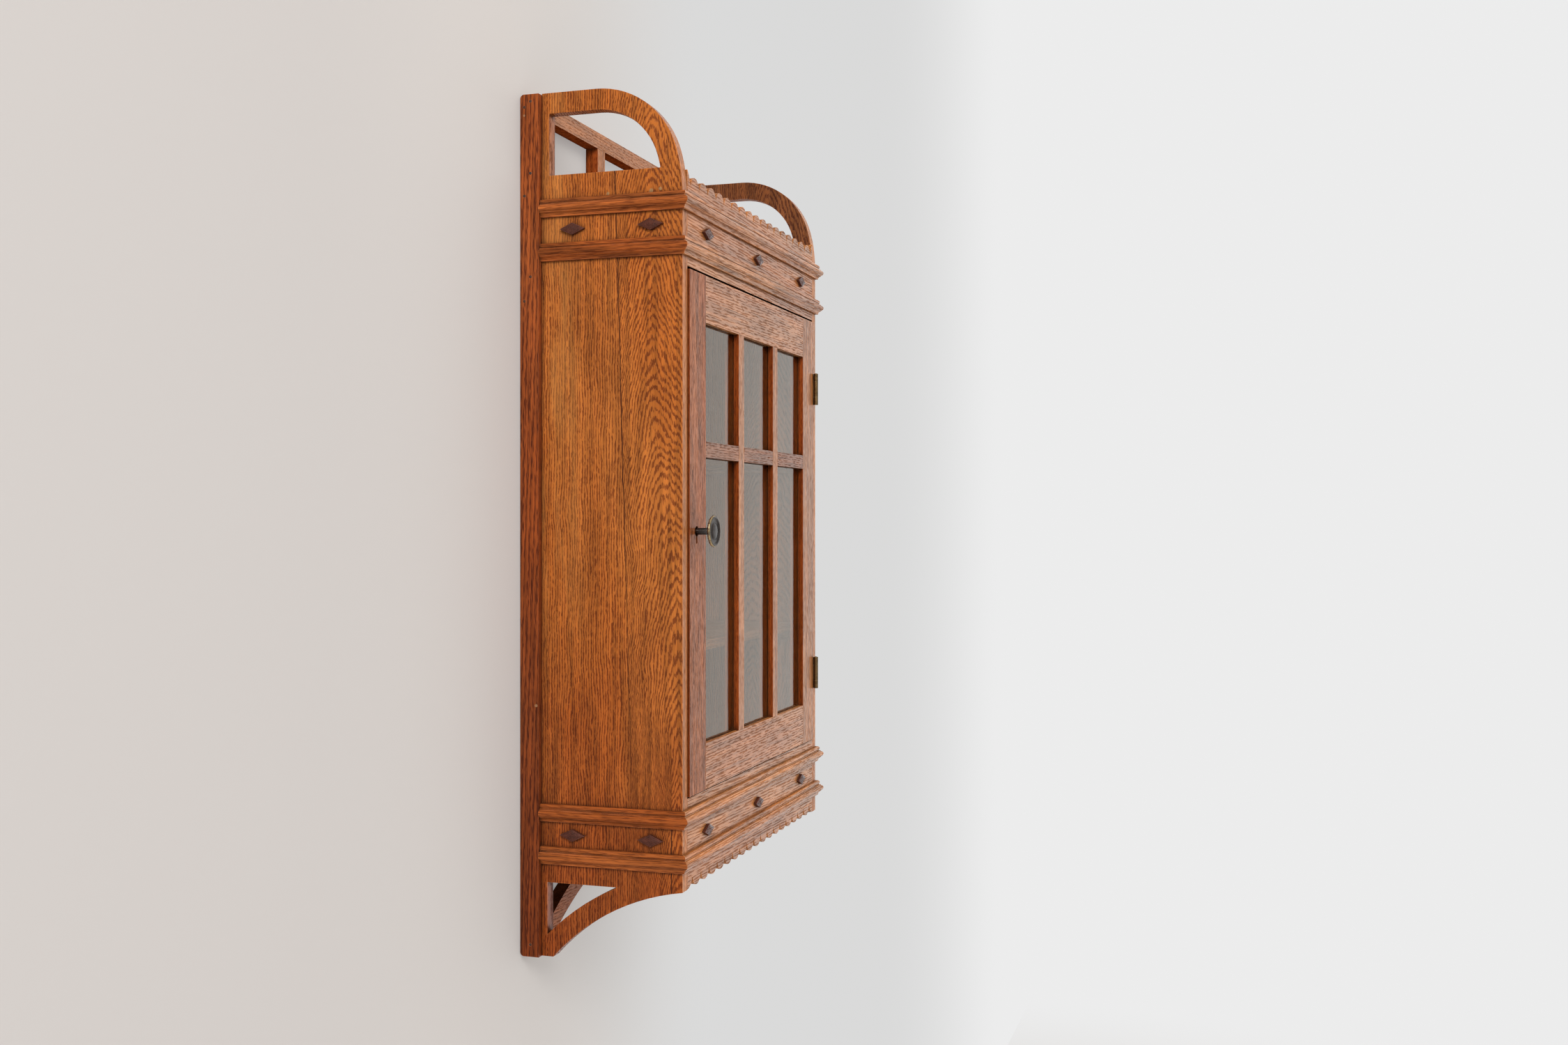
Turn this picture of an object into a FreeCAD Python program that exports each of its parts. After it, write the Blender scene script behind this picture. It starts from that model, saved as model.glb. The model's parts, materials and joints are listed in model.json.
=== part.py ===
import FreeCAD, Part
import math
import os
import Sketcher

# Wall cabinet with one glazed door, an open gallery above the case and bracket feet below it.
# X runs to the right seen from the front, Y into the wall and Z up.
# The origin lies on the wall face of the hanging rail, midway between the wall screws.
# Levels in the table are heights above the feet, depths are distances from the wall.

# Driving lengths in millimetres.
LENGTHS = {
    "case_width": 447,
    "case_depth": 169,
    "side_thickness": 13,
    "housing_depth": 4,
    "cut_overrun": 2,
    "post_height": 850,
    "post_width": 32,
    "post_depth": 20,
    "post_proud": 7,
    "post_corner_radius": 4,
    "crown_height": 174,
    "wall_screw_spacing": 300,
    "wall_screw_radius": 2.5,
    "arch_rise": 1.5,
    "arch_shoulder_radius": 88,
    "arch_side_radius": 170,
    "arch_rim": 20.5,
    "arch_back_rim": 8,
    "arch_window_height": 61,
    "scoop_radius": 227,
    "bracket_foot_length": 12.4,
    "bracket_tip_level": 72.7,
    "bracket_rim": 19.5,
    "bracket_back_rim": 6,
    "bracket_top_level": 73,
    "gallery_drop": 1,
    "gallery_rail_height": 17.5,
    "gallery_thickness": 14,
    "gallery_bar_width": 19.5,
    "gallery_foot_rise": 68,
    "gallery_foot_height": 34,
    "hanging_rail_height": 36,
    "arched_rail_radius": 354,
    "arched_rail_end_level": 0.3,
    "arched_rail_width": 19.5,
    "back_board_thickness": 8,
    "back_tongue_width": 5,
    "back_tongue_thickness": 3,
    "board_gap": 0.4,
    "case_bottom_level": 161,
    "case_board_thickness": 13,
    "shelf_lower_rise": 144,
    "shelf_thickness": 10,
    "cleat_size": 10,
    "cleat_front_setback": 6,
    "frieze_thickness": 12,
    "cresting_height": 79.3,
    "cresting_end_margin": 8.5,
    "cresting_end_rise": 14,
    "apron_height": 78.5,
    "apron_end_margin": 13.5,
    "lobe_height": 9.5,
    "lobe_gap": 0.8,
    "moulding_height": 17.5,
    "moulding_projection": 8.5,
    "moulding_top_upper_rise": 70,
    "moulding_top_lower_rise": 26.7,
    "moulding_bottom_upper_drop": 10,
    "moulding_bottom_lower_drop": 52,
    "bead_radius": 2.2,
    "nose_radius": 3.1,
    "cove_radius": 5,
    "stud_length": 26.5,
    "stud_height": 12,
    "stud_thickness": 5,
    "stud_chamfer": 0.8,
    "stud_side_rear_depth": 54,
    "stud_side_front_depth": 136.5,
    "stud_front_offset": 158,
    "stop_width": 8,
    "stop_depth": 8,
    "stop_clearance": 0.3,
    "door_side_gap": 1,
    "door_top_gap": 2.7,
    "door_bottom_gap": 1.4,
    "door_thickness": 19,
    "door_proud": 2,
    "stile_width": 44,
    "door_top_rail_height": 46.9,
    "door_bottom_rail_height": 46,
    "tenon_length": 28,
    "tenon_thickness": 7,
    "tenon_shoulder": 7,
    "upright_bar_width": 17,
    "cross_bar_height": 16,
    "upper_pane_height": 118,
    "bar_face_thickness": 6,
    "bar_tongue_width": 5,
    "glass_thickness": 2,
    "glass_clearance": 0.5,
    "bead_depth": 5,
    "hinge_length": 38,
    "hinge_end_knuckle": 9.5,
    "knuckle_radius": 2.6,
    "knuckle_gap": 0.15,
    "hinge_pin_radius": 1.2,
    "hinge_pin_clearance": 0.05,
    "hinge_pin_head_radius": 1.9,
    "hinge_pin_head_height": 0.8,
    "leaf_thickness": 1.2,
    "leaf_gap": 0.1,
    "leaf_depth": 18,
    "leaf_clearance": 0.4,
    "hinge_top_distance": 63.2,
    "hinge_bottom_distance": 62.4,
    "hinge_screw_end_distance": 9.5,
    "hinge_screw_depth": 10,
    "screw_head_radius": 2.1,
    "screw_head_depth": 1,
    "screw_shank_radius": 1,
    "screw_length": 9,
    "screw_slot_width": 0.6,
    "screw_slot_depth": 0.4,
    "key_rise": 256.9,
    "key_inset": 19,
    "key_stem_radius": 3.4,
    "key_bore_clearance": 0.05,
    "key_collar_radius": 4.3,
    "key_collar_length": 2.2,
    "keyhole_radius": 5,
    "keyhole_slot_width": 3.6,
    "keyhole_slot_drop": 12,
    "key_reach": 16,
    "key_disc_radius": 15.6,
    "key_disc_thickness": 3.4,
    "key_rim_width": 3,
    "key_recess_depth": 1.3,
    "key_boss_radius": 8.2,
    "key_boss_rise": 1.6,
    "key_bit_length": 9.5,
    "key_bit_thickness": 2.4,
    "key_bit_width": 3.6,
    "key_tip_radius": 2,
    "lock_wall": 1.5,
    "lock_depth": 7.5,
    "lock_door_margin": 3.5,
    "lock_width": 28,
    "lock_bottom_drop": 19.1,
    "lock_top_rise": 12.7,
    "lock_cover_margin": 6,
    "lock_cover_inner_margin": 5.5,
    "lock_screw_spacing": 20,
    "lock_cover_thickness": 1.5,
    "bolt_height": 12,
    "bolt_thickness": 4,
    "bolt_length": 28,
    "bolt_drop": 17.3,
    "bolt_clearance": 0.2,
    "bolt_notch_left": 4.8,
    "bolt_notch_right": 1.9,
    "bolt_notch_depth": 5.2,
    "bolt_travel": 7,
    "keeper_thickness": 1,
    "keeper_width": 12,
    "keeper_height": 26,
    "keeper_clearance": 0.5,
    "nail_radius": 0.8,
    "nail_head_radius": 1.5,
    "nail_head_thickness": 0.8,
    "nail_length": 42,
    "nail_back_depth": 4.4,
    "nail_front_depth": 11,
    "nail_edge_distance": 6,
}

# Angles in degrees and counts.
ANGLES = {
    "arch_side_sweep": 15,
}
COUNTS = {
    "lobe_count": 17,
    "gallery_space_count": 3,
    "pane_column_count": 3,
    "back_board_count": 3,
}

# Shares of the moulding's projection and height at the corners of its profile, from the top down.
PROFILE_SHARES = {
    "bead_start_share": (0.33, 0.0),
    "bead_end_share": (0.54, 0.13),
    "bead_foot_share": (0.54, 0.20),
    "groove_top_share": (0.46, 0.23),
    "groove_foot_share": (0.46, 0.28),
    "step_share": (0.70, 0.31),
    "nose_top_share": (0.70, 0.36),
    "nose_foot_share": (0.84, 0.68),
    "quirk_share": (0.73, 0.71),
    "quirk_foot_share": (0.73, 0.75),
    "cove_foot_share": (0.36, 0.94),
    "foot_share": (0.36, 1.0),
}

doc = FreeCAD.newDocument("wall_cabinet")
sheet = doc.addObject("Spreadsheet::Sheet", "sizes")
for row, (alias, number) in enumerate({**LENGTHS, **ANGLES, **COUNTS}.items(), start=1):
    sheet.set(f"A{row}", alias)
    sheet.set(f"B{row}", str(number))
    sheet.setAlias(f"B{row}", alias)
doc.recompute()


class Size:
    """A number together with the spreadsheet formula that gives it."""

    def __init__(self, number, formula):
        self.number = float(number)
        self.formula = formula

    def joined(self, sign, other, number):
        return Size(number, f"({self.formula} {sign} {as_size(other).formula})")

    def __add__(self, other):
        return self.joined("+", other, self.number + as_size(other).number)

    def __sub__(self, other):
        return self.joined("-", other, self.number - as_size(other).number)

    def __mul__(self, other):
        return self.joined("*", other, self.number * as_size(other).number)

    def __truediv__(self, other):
        return self.joined("/", other, self.number / as_size(other).number)

    def __neg__(self):
        return Size(-self.number, f"(0 - {self.formula})")

    def squared(self):
        return self * self

    def root(self):
        return Size(math.sqrt(self.number), f"sqrt({self.formula})")

    def sine(self):
        return Size(math.sin(math.radians(self.number)), f"sin({self.formula})")

    def cosine(self):
        return Size(math.cos(math.radians(self.number)), f"cos({self.formula})")


def as_size(value):
    """Give a plain number the same manners as a size from the sheet."""
    return value if isinstance(value, Size) else Size(value, f"{value}")


class Sheet:
    """Reads the sheet's cells by alias."""

    def __getattr__(self, alias):
        return Size(sheet.get(alias), f"sizes.{alias}")


s = Sheet()
case_top = s.post_height - s.crown_height
screw_level = case_top - s.hanging_rail_height / 2
ZERO = as_size(0)
X_AXIS = FreeCAD.Vector(1, 0, 0)
Y_AXIS = FreeCAD.Vector(0, 1, 0)
Z_AXIS = FreeCAD.Vector(0, 0, 1)
pieces = []


def piece(obj):
    """Mark an object as a finished sub-part whose name is its label."""
    obj.Label = obj.Name
    pieces.append(obj)
    return obj


def bind(obj, prop, size):
    obj.setExpression(prop, as_size(size).formula)


def place(obj, x, y, level, rotation=None):
    """Put an object at X, Y and a level above the feet, bound to the sheet."""
    x, y, z = as_size(x), as_size(y), as_size(level) - screw_level
    obj.Placement = FreeCAD.Placement(FreeCAD.Vector(x.number, y.number, z.number),
                                      rotation or FreeCAD.Rotation())
    bind(obj, "Placement.Base.x", x)
    bind(obj, "Placement.Base.y", y)
    bind(obj, "Placement.Base.z", z)


def box(name, x, y, level):
    """Block between two X places, two Y places and two levels, each pair low to high."""
    block = doc.addObject("Part::Box", name)
    for side, (low, high) in (("Length", x), ("Width", y), ("Height", level)):
        bind(block, side, as_size(high) - low)
    place(block, x[0], y[0], level[0])
    return block


def cylinder(name, start, direction, radius, length):
    """Round bar from its start point along an axis."""
    bar = doc.addObject("Part::Cylinder", name)
    bind(bar, "Radius", radius)
    bind(bar, "Height", length)
    place(bar, *start, FreeCAD.Rotation(Z_AXIS, direction))
    return bar


def cone(name, start, direction, start_radius, end_radius, length):
    taper = doc.addObject("Part::Cone", name)
    bind(taper, "Radius1", start_radius)
    bind(taper, "Radius2", end_radius)
    bind(taper, "Height", length)
    place(taper, *start, FreeCAD.Rotation(Z_AXIS, direction))
    return taper


def fuse(name, *parts):
    joined = doc.addObject("Part::MultiFuse", name)
    joined.Shapes = list(parts)
    joined.Refine = True
    return joined


def cut(name, base, *tools):
    """Take each tool out of the base in turn; the last cut carries the name."""
    for number, tool in enumerate(tools, start=1):
        last = number == len(tools)
        taken = doc.addObject("Part::Cut", name if last else f"{name}_cut_{number}")
        taken.Base = base
        taken.Tool = tool
        base = taken
    return base


def group(name, parts):
    """Loose compound of separate solids that share one node."""
    gathered = doc.addObject("Part::Compound", name)
    gathered.Links = list(parts)
    return gathered


class Outline:
    """Closed run of lines and arcs, each corner bound to the sheet by its two coordinates."""

    def __init__(self, start):
        self.corners = [start]
        self.spans = []

    def line(self, corner):
        self.corners.append(corner)
        self.spans.append(None)
        return self

    def arc(self, corner, radius, turn):
        """Arc under half a circle; turn is 1 anticlockwise and -1 clockwise."""
        self.corners.append(corner)
        self.spans.append((radius, turn))
        return self

    def close(self):
        self.spans.append(None)
        return self

    def mapped(self, change, turn):
        """Same outline with every corner changed; turn is -1 where the change mirrors it."""
        other = Outline(change(self.corners[0]))
        other.corners = [change(corner) for corner in self.corners]
        other.spans = [span and (span[0], span[1] * turn) for span in self.spans]
        return other


def arc_geometry(start, end, radius, turn):
    """Sketch arc through two corners, always stored anticlockwise."""
    middle = (start + end) / 2
    chord = end - start
    rise = math.sqrt(max(radius ** 2 - (chord.Length / 2) ** 2, 0))
    normal = FreeCAD.Vector(-chord.y, chord.x, 0).normalize()
    centre = middle + normal * rise * turn
    first, last = (start, end) if turn > 0 else (end, start)
    angles = [math.atan2(point.y - centre.y, point.x - centre.x) for point in (first, last)]
    return Part.ArcOfCircle(Part.Circle(centre, Z_AXIS, radius), *angles)


def draw(sketch, outline):
    """Add an outline to a sketch with constraints that follow the sheet."""
    count = len(outline.corners)
    points = [FreeCAD.Vector(as_size(u).number, as_size(v).number, 0) for u, v in outline.corners]
    ends = []
    first = sketch.GeometryCount
    for index, span in enumerate(outline.spans):
        start, end = points[index], points[(index + 1) % count]
        if span is None:
            sketch.addGeometry(Part.LineSegment(start, end), False)
            ends.append((1, 2))
        else:
            radius, turn = span
            sketch.addGeometry(arc_geometry(start, end, as_size(radius).number, turn), False)
            ends.append((1, 2) if turn > 0 else (2, 1))
    for index, span in enumerate(outline.spans):
        edge = first + index
        following = (index + 1) % count
        sketch.addConstraint(Sketcher.Constraint("Coincident", edge, ends[index][1],
                                                 first + following, ends[following][0]))
        for kind, coordinate in zip(("DistanceX", "DistanceY"), outline.corners[index]):
            coordinate = as_size(coordinate)
            number = sketch.addConstraint(Sketcher.Constraint(kind, edge, ends[index][0],
                                                              coordinate.number))
            bind(sketch, f"Constraints[{number}]", coordinate)
        if span is not None:
            radius = as_size(span[0])
            number = sketch.addConstraint(Sketcher.Constraint("Radius", edge, radius.number))
            bind(sketch, f"Constraints[{number}]", radius)


def sketch_on(body, role, name, outlines):
    """Sketch on one of the body's own origin planes."""
    plane = next(item for item in body.Origin.OriginFeatures if item.Role == role)
    sketch = body.newObject("Sketcher::SketchObject", name)
    sketch.AttachmentSupport = [(plane, "")]
    sketch.MapMode = "FlatFace"
    for outline in outlines:
        draw(sketch, outline)
    return sketch


def padded(name, role, outlines, length, x, y, level=ZERO):
    """Body made of one pad; outlines after the first are openings in it."""
    body = doc.addObject("PartDesign::Body", name)
    sketch = sketch_on(body, role, f"{name}_sketch", outlines)
    pad = body.newObject("PartDesign::Pad", f"{name}_pad")
    pad.Profile = sketch
    bind(pad, "Length", length)
    place(body, x, y, level)
    return body


def rectangle(u, v):
    return (Outline((u[0], v[0])).line((u[1], v[0])).line((u[1], v[1])).line((u[0], v[1])).close())


# Places that many pieces share.
half_width = s.case_width / 2
half_inside = half_width - s.side_thickness
front = -s.case_depth
frieze_back = front + s.frieze_thickness
post_outside = half_width + s.post_proud
post_inside = post_outside - s.post_width
door_front = front - s.door_proud
door_back = door_front + s.door_thickness
door_edge = half_inside - s.door_side_gap
door_bottom = s.case_bottom_level + s.door_bottom_gap
door_top = case_top - s.door_top_gap
opening_bottom = door_bottom + s.door_bottom_rail_height
opening_top = door_top - s.door_top_rail_height
cross_top = opening_top - s.upper_pane_height
key_level = door_bottom + s.key_rise
hanging_bottom = case_top - s.hanging_rail_height
gallery_rail_top = s.post_height - s.gallery_drop
gallery_rail_foot = gallery_rail_top - s.gallery_rail_height
gallery_foot = case_top + s.gallery_foot_rise
gallery_foot_top = gallery_foot + s.gallery_foot_height
stop_back = door_back + s.stop_clearance + s.stop_depth
overrun = s.cut_overrun


def nail_blanks():
    """Nails through the outer faces of the posts into the rails between them."""
    levels = []
    for foot, top in ((gallery_rail_foot, gallery_rail_top), (gallery_foot, gallery_foot_top),
                      (hanging_bottom, case_top)):
        levels.append((foot + s.nail_edge_distance, s.nail_back_depth))
        levels.append((top - s.nail_edge_distance, s.nail_front_depth))
    levels.append((s.nail_edge_distance * 2, s.nail_front_depth))
    nails = []
    for side, direction in ((-1, X_AXIS), (1, -X_AXIS)):
        for number, (level, depth) in enumerate(levels, start=1):
            name = f"nail_{'left' if side < 0 else 'right'}_{number}"
            start = (post_outside * side, -depth, level)
            head = cylinder(f"{name}_head", start, direction, s.nail_head_radius,
                            s.nail_head_thickness)
            shank = cylinder(f"{name}_shank", start, direction, s.nail_radius, s.nail_length)
            nails.append(fuse(name, head, shank))
    return nails


nails = piece(group("nails", nail_blanks()))


def post(name, side):
    """Upright with the corners rounded towards the wall at top and foot."""
    radius = s.post_corner_radius
    outline = (Outline((-s.post_depth, ZERO)).line((-radius, ZERO)).arc((ZERO, radius), radius, 1)
               .line((ZERO, s.post_height - radius)).arc((-radius, s.post_height), radius, 1)
               .line((-s.post_depth, s.post_height)).close())
    left = -post_outside if side < 0 else post_inside
    blank = padded(f"{name}_blank", "YZ_Plane", [outline], s.post_width, left, ZERO)
    return piece(cut(name, blank, nails))


post("post_left", -1)
post("post_right", 1)


def between_posts(name, y, level, *tools):
    """Rail that spans from post to post."""
    blank = box(f"{name}_blank", (-post_inside, post_inside), y, level)
    return piece(cut(name, blank, nails, *tools))


gallery_front = -s.gallery_thickness
between_posts("gallery_rail", (gallery_front, ZERO), (gallery_rail_foot, gallery_rail_top))
between_posts("gallery_foot_rail", (gallery_front, ZERO), (gallery_foot, gallery_foot_top))

gallery_space = (post_inside * 2 - s.gallery_bar_width * 2) / s.gallery_space_count
bar_inner = gallery_space / 2
bar_outer = bar_inner + s.gallery_bar_width
for name, span in (("gallery_bar_left", (-bar_outer, -bar_inner)),
                   ("gallery_bar_right", (bar_inner, bar_outer))):
    piece(box(name, span, (gallery_front, ZERO), (gallery_foot_top, gallery_rail_foot)))

wall_screw_holes = [
    cylinder(f"wall_screw_hole_{side}", (place_x, -s.post_depth - overrun, screw_level), Y_AXIS,
             s.wall_screw_radius, s.post_depth + overrun * 2)
    for side, place_x in (("left", -s.wall_screw_spacing / 2), ("right", s.wall_screw_spacing / 2))
]
between_posts("hanging_rail", (-s.post_depth, ZERO), (hanging_bottom, case_top),
              *wall_screw_holes)


def arched_rail():
    """Shallow arch low between the posts, its two curves on one centre."""
    outer = s.arched_rail_radius
    inner = outer - s.arched_rail_width
    inner_end = s.arched_rail_end_level
    centre_level = inner_end - (inner.squared() - post_inside.squared()).root()
    outer_end = (outer.squared() - post_inside.squared()).root() + centre_level
    outline = (Outline((-post_inside, inner_end)).arc((post_inside, inner_end), inner, -1)
               .line((post_inside, outer_end)).arc((-post_inside, outer_end), outer, 1).close())
    blank = padded("arched_rail_blank", "XZ_Plane", [outline], s.gallery_thickness, ZERO, ZERO)
    return piece(cut("arched_rail", blank, nails))


arched_rail()


def back_boards():
    """Upright boards between the posts, tongued into each other."""
    count = int(sheet.get("back_board_count"))
    width = post_inside * 2 / s.back_board_count
    back = -s.post_depth + s.back_board_thickness
    levels = (s.case_bottom_level, hanging_bottom)
    tongue_back = -s.post_depth + (s.back_board_thickness + s.back_tongue_thickness) / 2
    tongue_y = (tongue_back - s.back_tongue_thickness, tongue_back)
    for number in range(count):
        name = f"back_board_{number + 1}"
        first, last = number == 0, number == count - 1
        left = -post_inside + width * number
        right = left + width
        low = left if first else left + s.board_gap
        board = box(f"{name}_blank", (low, right), (-s.post_depth, back), levels)
        if not last:
            tongue = box(f"{name}_tongue", (right, right + s.back_tongue_width), tongue_y, levels)
            board = fuse(name if first else f"{name}_tongued", board, tongue)
        if not first:
            groove = box(f"{name}_groove", (left - overrun, left + s.back_tongue_width),
                         tongue_y, levels)
            board = cut(name, board, groove)
        piece(board)


back_boards()


# Hinges: the pin's axis stands in front of the gap between the door's edge and the side board.
hinge_x = half_inside - s.door_side_gap / 2
hinge_y = door_front - s.knuckle_radius - s.leaf_clearance
leaf_back = hinge_y + s.leaf_depth
leaf_front = hinge_y + s.knuckle_radius + s.leaf_clearance
hinge_levels = {"upper": door_top - s.hinge_top_distance - s.hinge_length,
                "lower": door_bottom + s.hinge_bottom_distance}


def screw(name, start, direction):
    """Countersunk screw without its slot, used as the tool that makes its own seat."""
    head = cone(f"{name}_head", start, direction, s.screw_head_radius, s.screw_shank_radius,
                s.screw_head_depth)
    shank = cylinder(f"{name}_shank", start, direction, s.screw_shank_radius, s.screw_length)
    return fuse(name, head, shank)


def hinge_screws(side, leaf_x, direction):
    """Two screws in each of the two leaves on one side."""
    screws = []
    slots = []
    depth = hinge_y + s.hinge_screw_depth
    for hinge, foot in hinge_levels.items():
        for number, level in enumerate((foot + s.hinge_screw_end_distance,
                                        foot + s.hinge_length - s.hinge_screw_end_distance)):
            name = f"{side}_{hinge}_screw_{number}"
            screws.append(screw(name, (leaf_x, depth, level), direction))
            reach = s.screw_slot_depth * (1 if side == "case" else -1)
            x = (leaf_x - overrun, leaf_x + reach) if side == "case" else (leaf_x + reach,
                                                                           leaf_x + overrun)
            slots.append(box(f"{name}_slot", x,
                             (depth - s.screw_head_radius, depth + s.screw_head_radius),
                             (level - s.screw_slot_width / 2, level + s.screw_slot_width / 2)))
    return group(f"{side}_hinge_screw_blanks", screws), group(f"{side}_hinge_screw_slots", slots)


case_leaf_x = (hinge_x + s.leaf_gap / 2, hinge_x + s.leaf_gap / 2 + s.leaf_thickness)
door_leaf_x = (hinge_x - s.leaf_gap / 2 - s.leaf_thickness, hinge_x - s.leaf_gap / 2)
case_screw_blanks, case_screw_slots = hinge_screws("case", case_leaf_x[0], X_AXIS)
door_screw_blanks, door_screw_slots = hinge_screws("door", door_leaf_x[1], -X_AXIS)
piece(cut("case_screws", case_screw_blanks, case_screw_slots))


def hinge(label, foot):
    """Butt hinge: the case leaf has the end knuckles and the door leaf the middle one."""
    top = foot + s.hinge_length
    low_joint = foot + s.hinge_end_knuckle
    high_joint = top - s.hinge_end_knuckle
    gap = s.knuckle_gap
    bore = cylinder(f"hinge_{label}_bore", (hinge_x, hinge_y, foot - overrun), Z_AXIS,
                    s.hinge_pin_radius + s.hinge_pin_clearance, s.hinge_length + overrun * 2)
    leaves = {"case": (case_leaf_x, ((foot, low_joint), (high_joint, top)), case_screw_blanks),
              "door": (door_leaf_x, ((low_joint + gap, high_joint - gap),), door_screw_blanks)}
    for side, (leaf_x, knuckles, screws) in leaves.items():
        name = f"hinge_{label}_{side}_leaf"
        parts = [box(f"{name}_plate", leaf_x, (leaf_front, leaf_back), (foot, top))]
        for number, (low, high) in enumerate(knuckles):
            parts.append(box(f"{name}_tab_{number}", leaf_x, (hinge_y, leaf_front), (low, high)))
            parts.append(cylinder(f"{name}_knuckle_{number}", (hinge_x, hinge_y, low), Z_AXIS,
                                  s.knuckle_radius, high - low))
        piece(cut(name, fuse(f"{name}_blank", *parts), bore, screws))
    head = cylinder(f"hinge_{label}_pin_head", (hinge_x, hinge_y, top), Z_AXIS,
                    s.hinge_pin_head_radius, s.hinge_pin_head_height)
    shank = cylinder(f"hinge_{label}_pin_shank", (hinge_x, hinge_y, foot), Z_AXIS,
                     s.hinge_pin_radius, s.hinge_length)
    return fuse(f"hinge_{label}_pin", head, shank)


piece(group("hinge_pins", [hinge(label, foot) for label, foot in hinge_levels.items()]))


def leaf_recess(side, leaf_x, wood_x):
    """Recesses that let the leaves into the wood, one for each hinge."""
    x = (wood_x, leaf_x[1]) if side == "case" else (leaf_x[0], wood_x)
    return group(f"{side}_leaf_recesses", [
        box(f"{side}_{label}_leaf_recess", x, (hinge_y, leaf_back), (foot, foot + s.hinge_length))
        for label, foot in hinge_levels.items()])


case_leaf_recesses = leaf_recess("case", case_leaf_x, half_inside - overrun)
door_leaf_recesses = leaf_recess("door", door_leaf_x, door_edge + overrun)

# Lock: the key turns in a case let into the back of the left stile and drives a sliding bolt.
key_x = -door_edge + s.key_inset
lock_front = door_back - s.lock_cover_thickness - s.lock_depth
lock_back = door_back - s.lock_cover_thickness
lock_x = (-door_edge + s.lock_door_margin, -door_edge + s.lock_door_margin + s.lock_width)
lock_level = (key_level - s.lock_bottom_drop, key_level + s.lock_top_rise)
cavity_x = (lock_x[0] + s.lock_wall, lock_x[1] - s.lock_wall)
cavity_level = (lock_level[0] + s.lock_wall, lock_level[1] - s.lock_wall)
cavity_front = lock_front + s.lock_wall
bolt_level = (key_level - s.bolt_drop, key_level - s.bolt_drop + s.bolt_height)
bolt_front = cavity_front + s.bolt_clearance
bolt_y = (bolt_front, bolt_front + s.bolt_thickness)
cover_x = (-door_edge, lock_x[1] + s.lock_cover_inner_margin)
cover_level = (lock_level[0] - s.lock_cover_margin, lock_level[1] + s.lock_cover_margin)


def widened(span, margin):
    return (span[0] - margin, span[1] + margin)


def key_hole(name, radius, y):
    """Round hole with a slot below it for the key's bit."""
    hole = cylinder(f"{name}_round", (key_x, y[0], key_level), Y_AXIS, radius, y[1] - y[0])
    slot = box(f"{name}_slot", (key_x - s.keyhole_slot_width / 2, key_x + s.keyhole_slot_width / 2),
               y, (key_level - s.keyhole_slot_drop, key_level))
    return fuse(name, hole, slot)


stile_key_hole = key_hole("stile_key_hole", s.keyhole_radius, (door_front - overrun, lock_front))
case_key_hole = key_hole("lock_key_hole", s.key_stem_radius + s.key_bore_clearance,
                         (lock_front - overrun, cavity_front))
bolt_slot = box("bolt_slot", (-door_edge - overrun, cavity_x[0]), widened(bolt_y, s.bolt_clearance),
                widened(bolt_level, s.bolt_clearance))
lock_outside = box("lock_outside", lock_x, (lock_front, lock_back), lock_level)
lock_cavity = box("lock_cavity", cavity_x, (cavity_front, lock_back + overrun), cavity_level)
piece(cut("lock_case", lock_outside, lock_cavity, case_key_hole, bolt_slot))
cover_seat = box("lock_cover_seat", cover_x, (lock_back, door_back + overrun), cover_level)

lock_screw_places = [
    (f"{column}_{row}", x, level)
    for column, x in (("outer", key_x - s.lock_screw_spacing / 2),
                      ("inner", key_x + s.lock_screw_spacing / 2))
    for row, level in (("low", cover_level[0] + s.lock_cover_margin / 2),
                       ("high", cover_level[1] - s.lock_cover_margin / 2))]
lock_screw_blanks = group("lock_screw_blanks", [
    screw(f"lock_screw_{label}", (x, door_back, level), -Y_AXIS)
    for label, x, level in lock_screw_places])
lock_screw_slots = group("lock_screw_slots", [
    box(f"lock_screw_slot_{label}", (x - s.screw_slot_width / 2, x + s.screw_slot_width / 2),
        (door_back - s.screw_slot_depth, door_back + overrun),
        (level - s.screw_head_radius, level + s.screw_head_radius))
    for label, x, level in lock_screw_places])
all_door_screws = group("door_screw_blanks", [door_screw_blanks, lock_screw_blanks])
piece(cut("door_screws", all_door_screws, door_screw_slots, lock_screw_slots))

cover_plate = box("lock_cover_plate", cover_x, (lock_back, door_back), cover_level)
tip_bore = cylinder("key_tip_bore", (key_x, lock_back - overrun, key_level), Y_AXIS,
                    s.key_tip_radius + s.key_bore_clearance, s.lock_cover_thickness + overrun * 2)
piece(cut("lock_cover", cover_plate, tip_bore, lock_screw_blanks))

bolt_blank = box("bolt_blank", (-door_edge, -door_edge + s.bolt_length), bolt_y, bolt_level)
bolt_notch = box("bolt_notch", (key_x - s.bolt_notch_left, key_x + s.bolt_notch_right),
                 widened(bolt_y, overrun), (bolt_level[1] - s.bolt_notch_depth, bolt_level[1] + overrun))
piece(cut("lock_bolt", bolt_blank, bolt_notch))

keeper_hole_y = widened(bolt_y, s.keeper_clearance)
keeper_hole_level = widened(bolt_level, s.keeper_clearance)
keeper_middle_y = (bolt_y[0] + bolt_y[1]) / 2
keeper_middle_level = (bolt_level[0] + bolt_level[1]) / 2
keeper_y = widened((keeper_middle_y, keeper_middle_y), s.keeper_width / 2)
keeper_level = widened((keeper_middle_level, keeper_middle_level), s.keeper_height / 2)
keeper_x = (-half_inside - s.keeper_thickness, -half_inside)
keeper_mortise = box("keeper_mortise", (-half_inside - s.bolt_travel - s.keeper_clearance,
                                        -half_inside + overrun), keeper_hole_y, keeper_hole_level)
keeper_recess = box("keeper_recess", (keeper_x[0], keeper_x[1] + overrun), keeper_y, keeper_level)
piece(cut("keeper_plate", box("keeper_blank", keeper_x, keeper_y, keeper_level), keeper_mortise))


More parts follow.
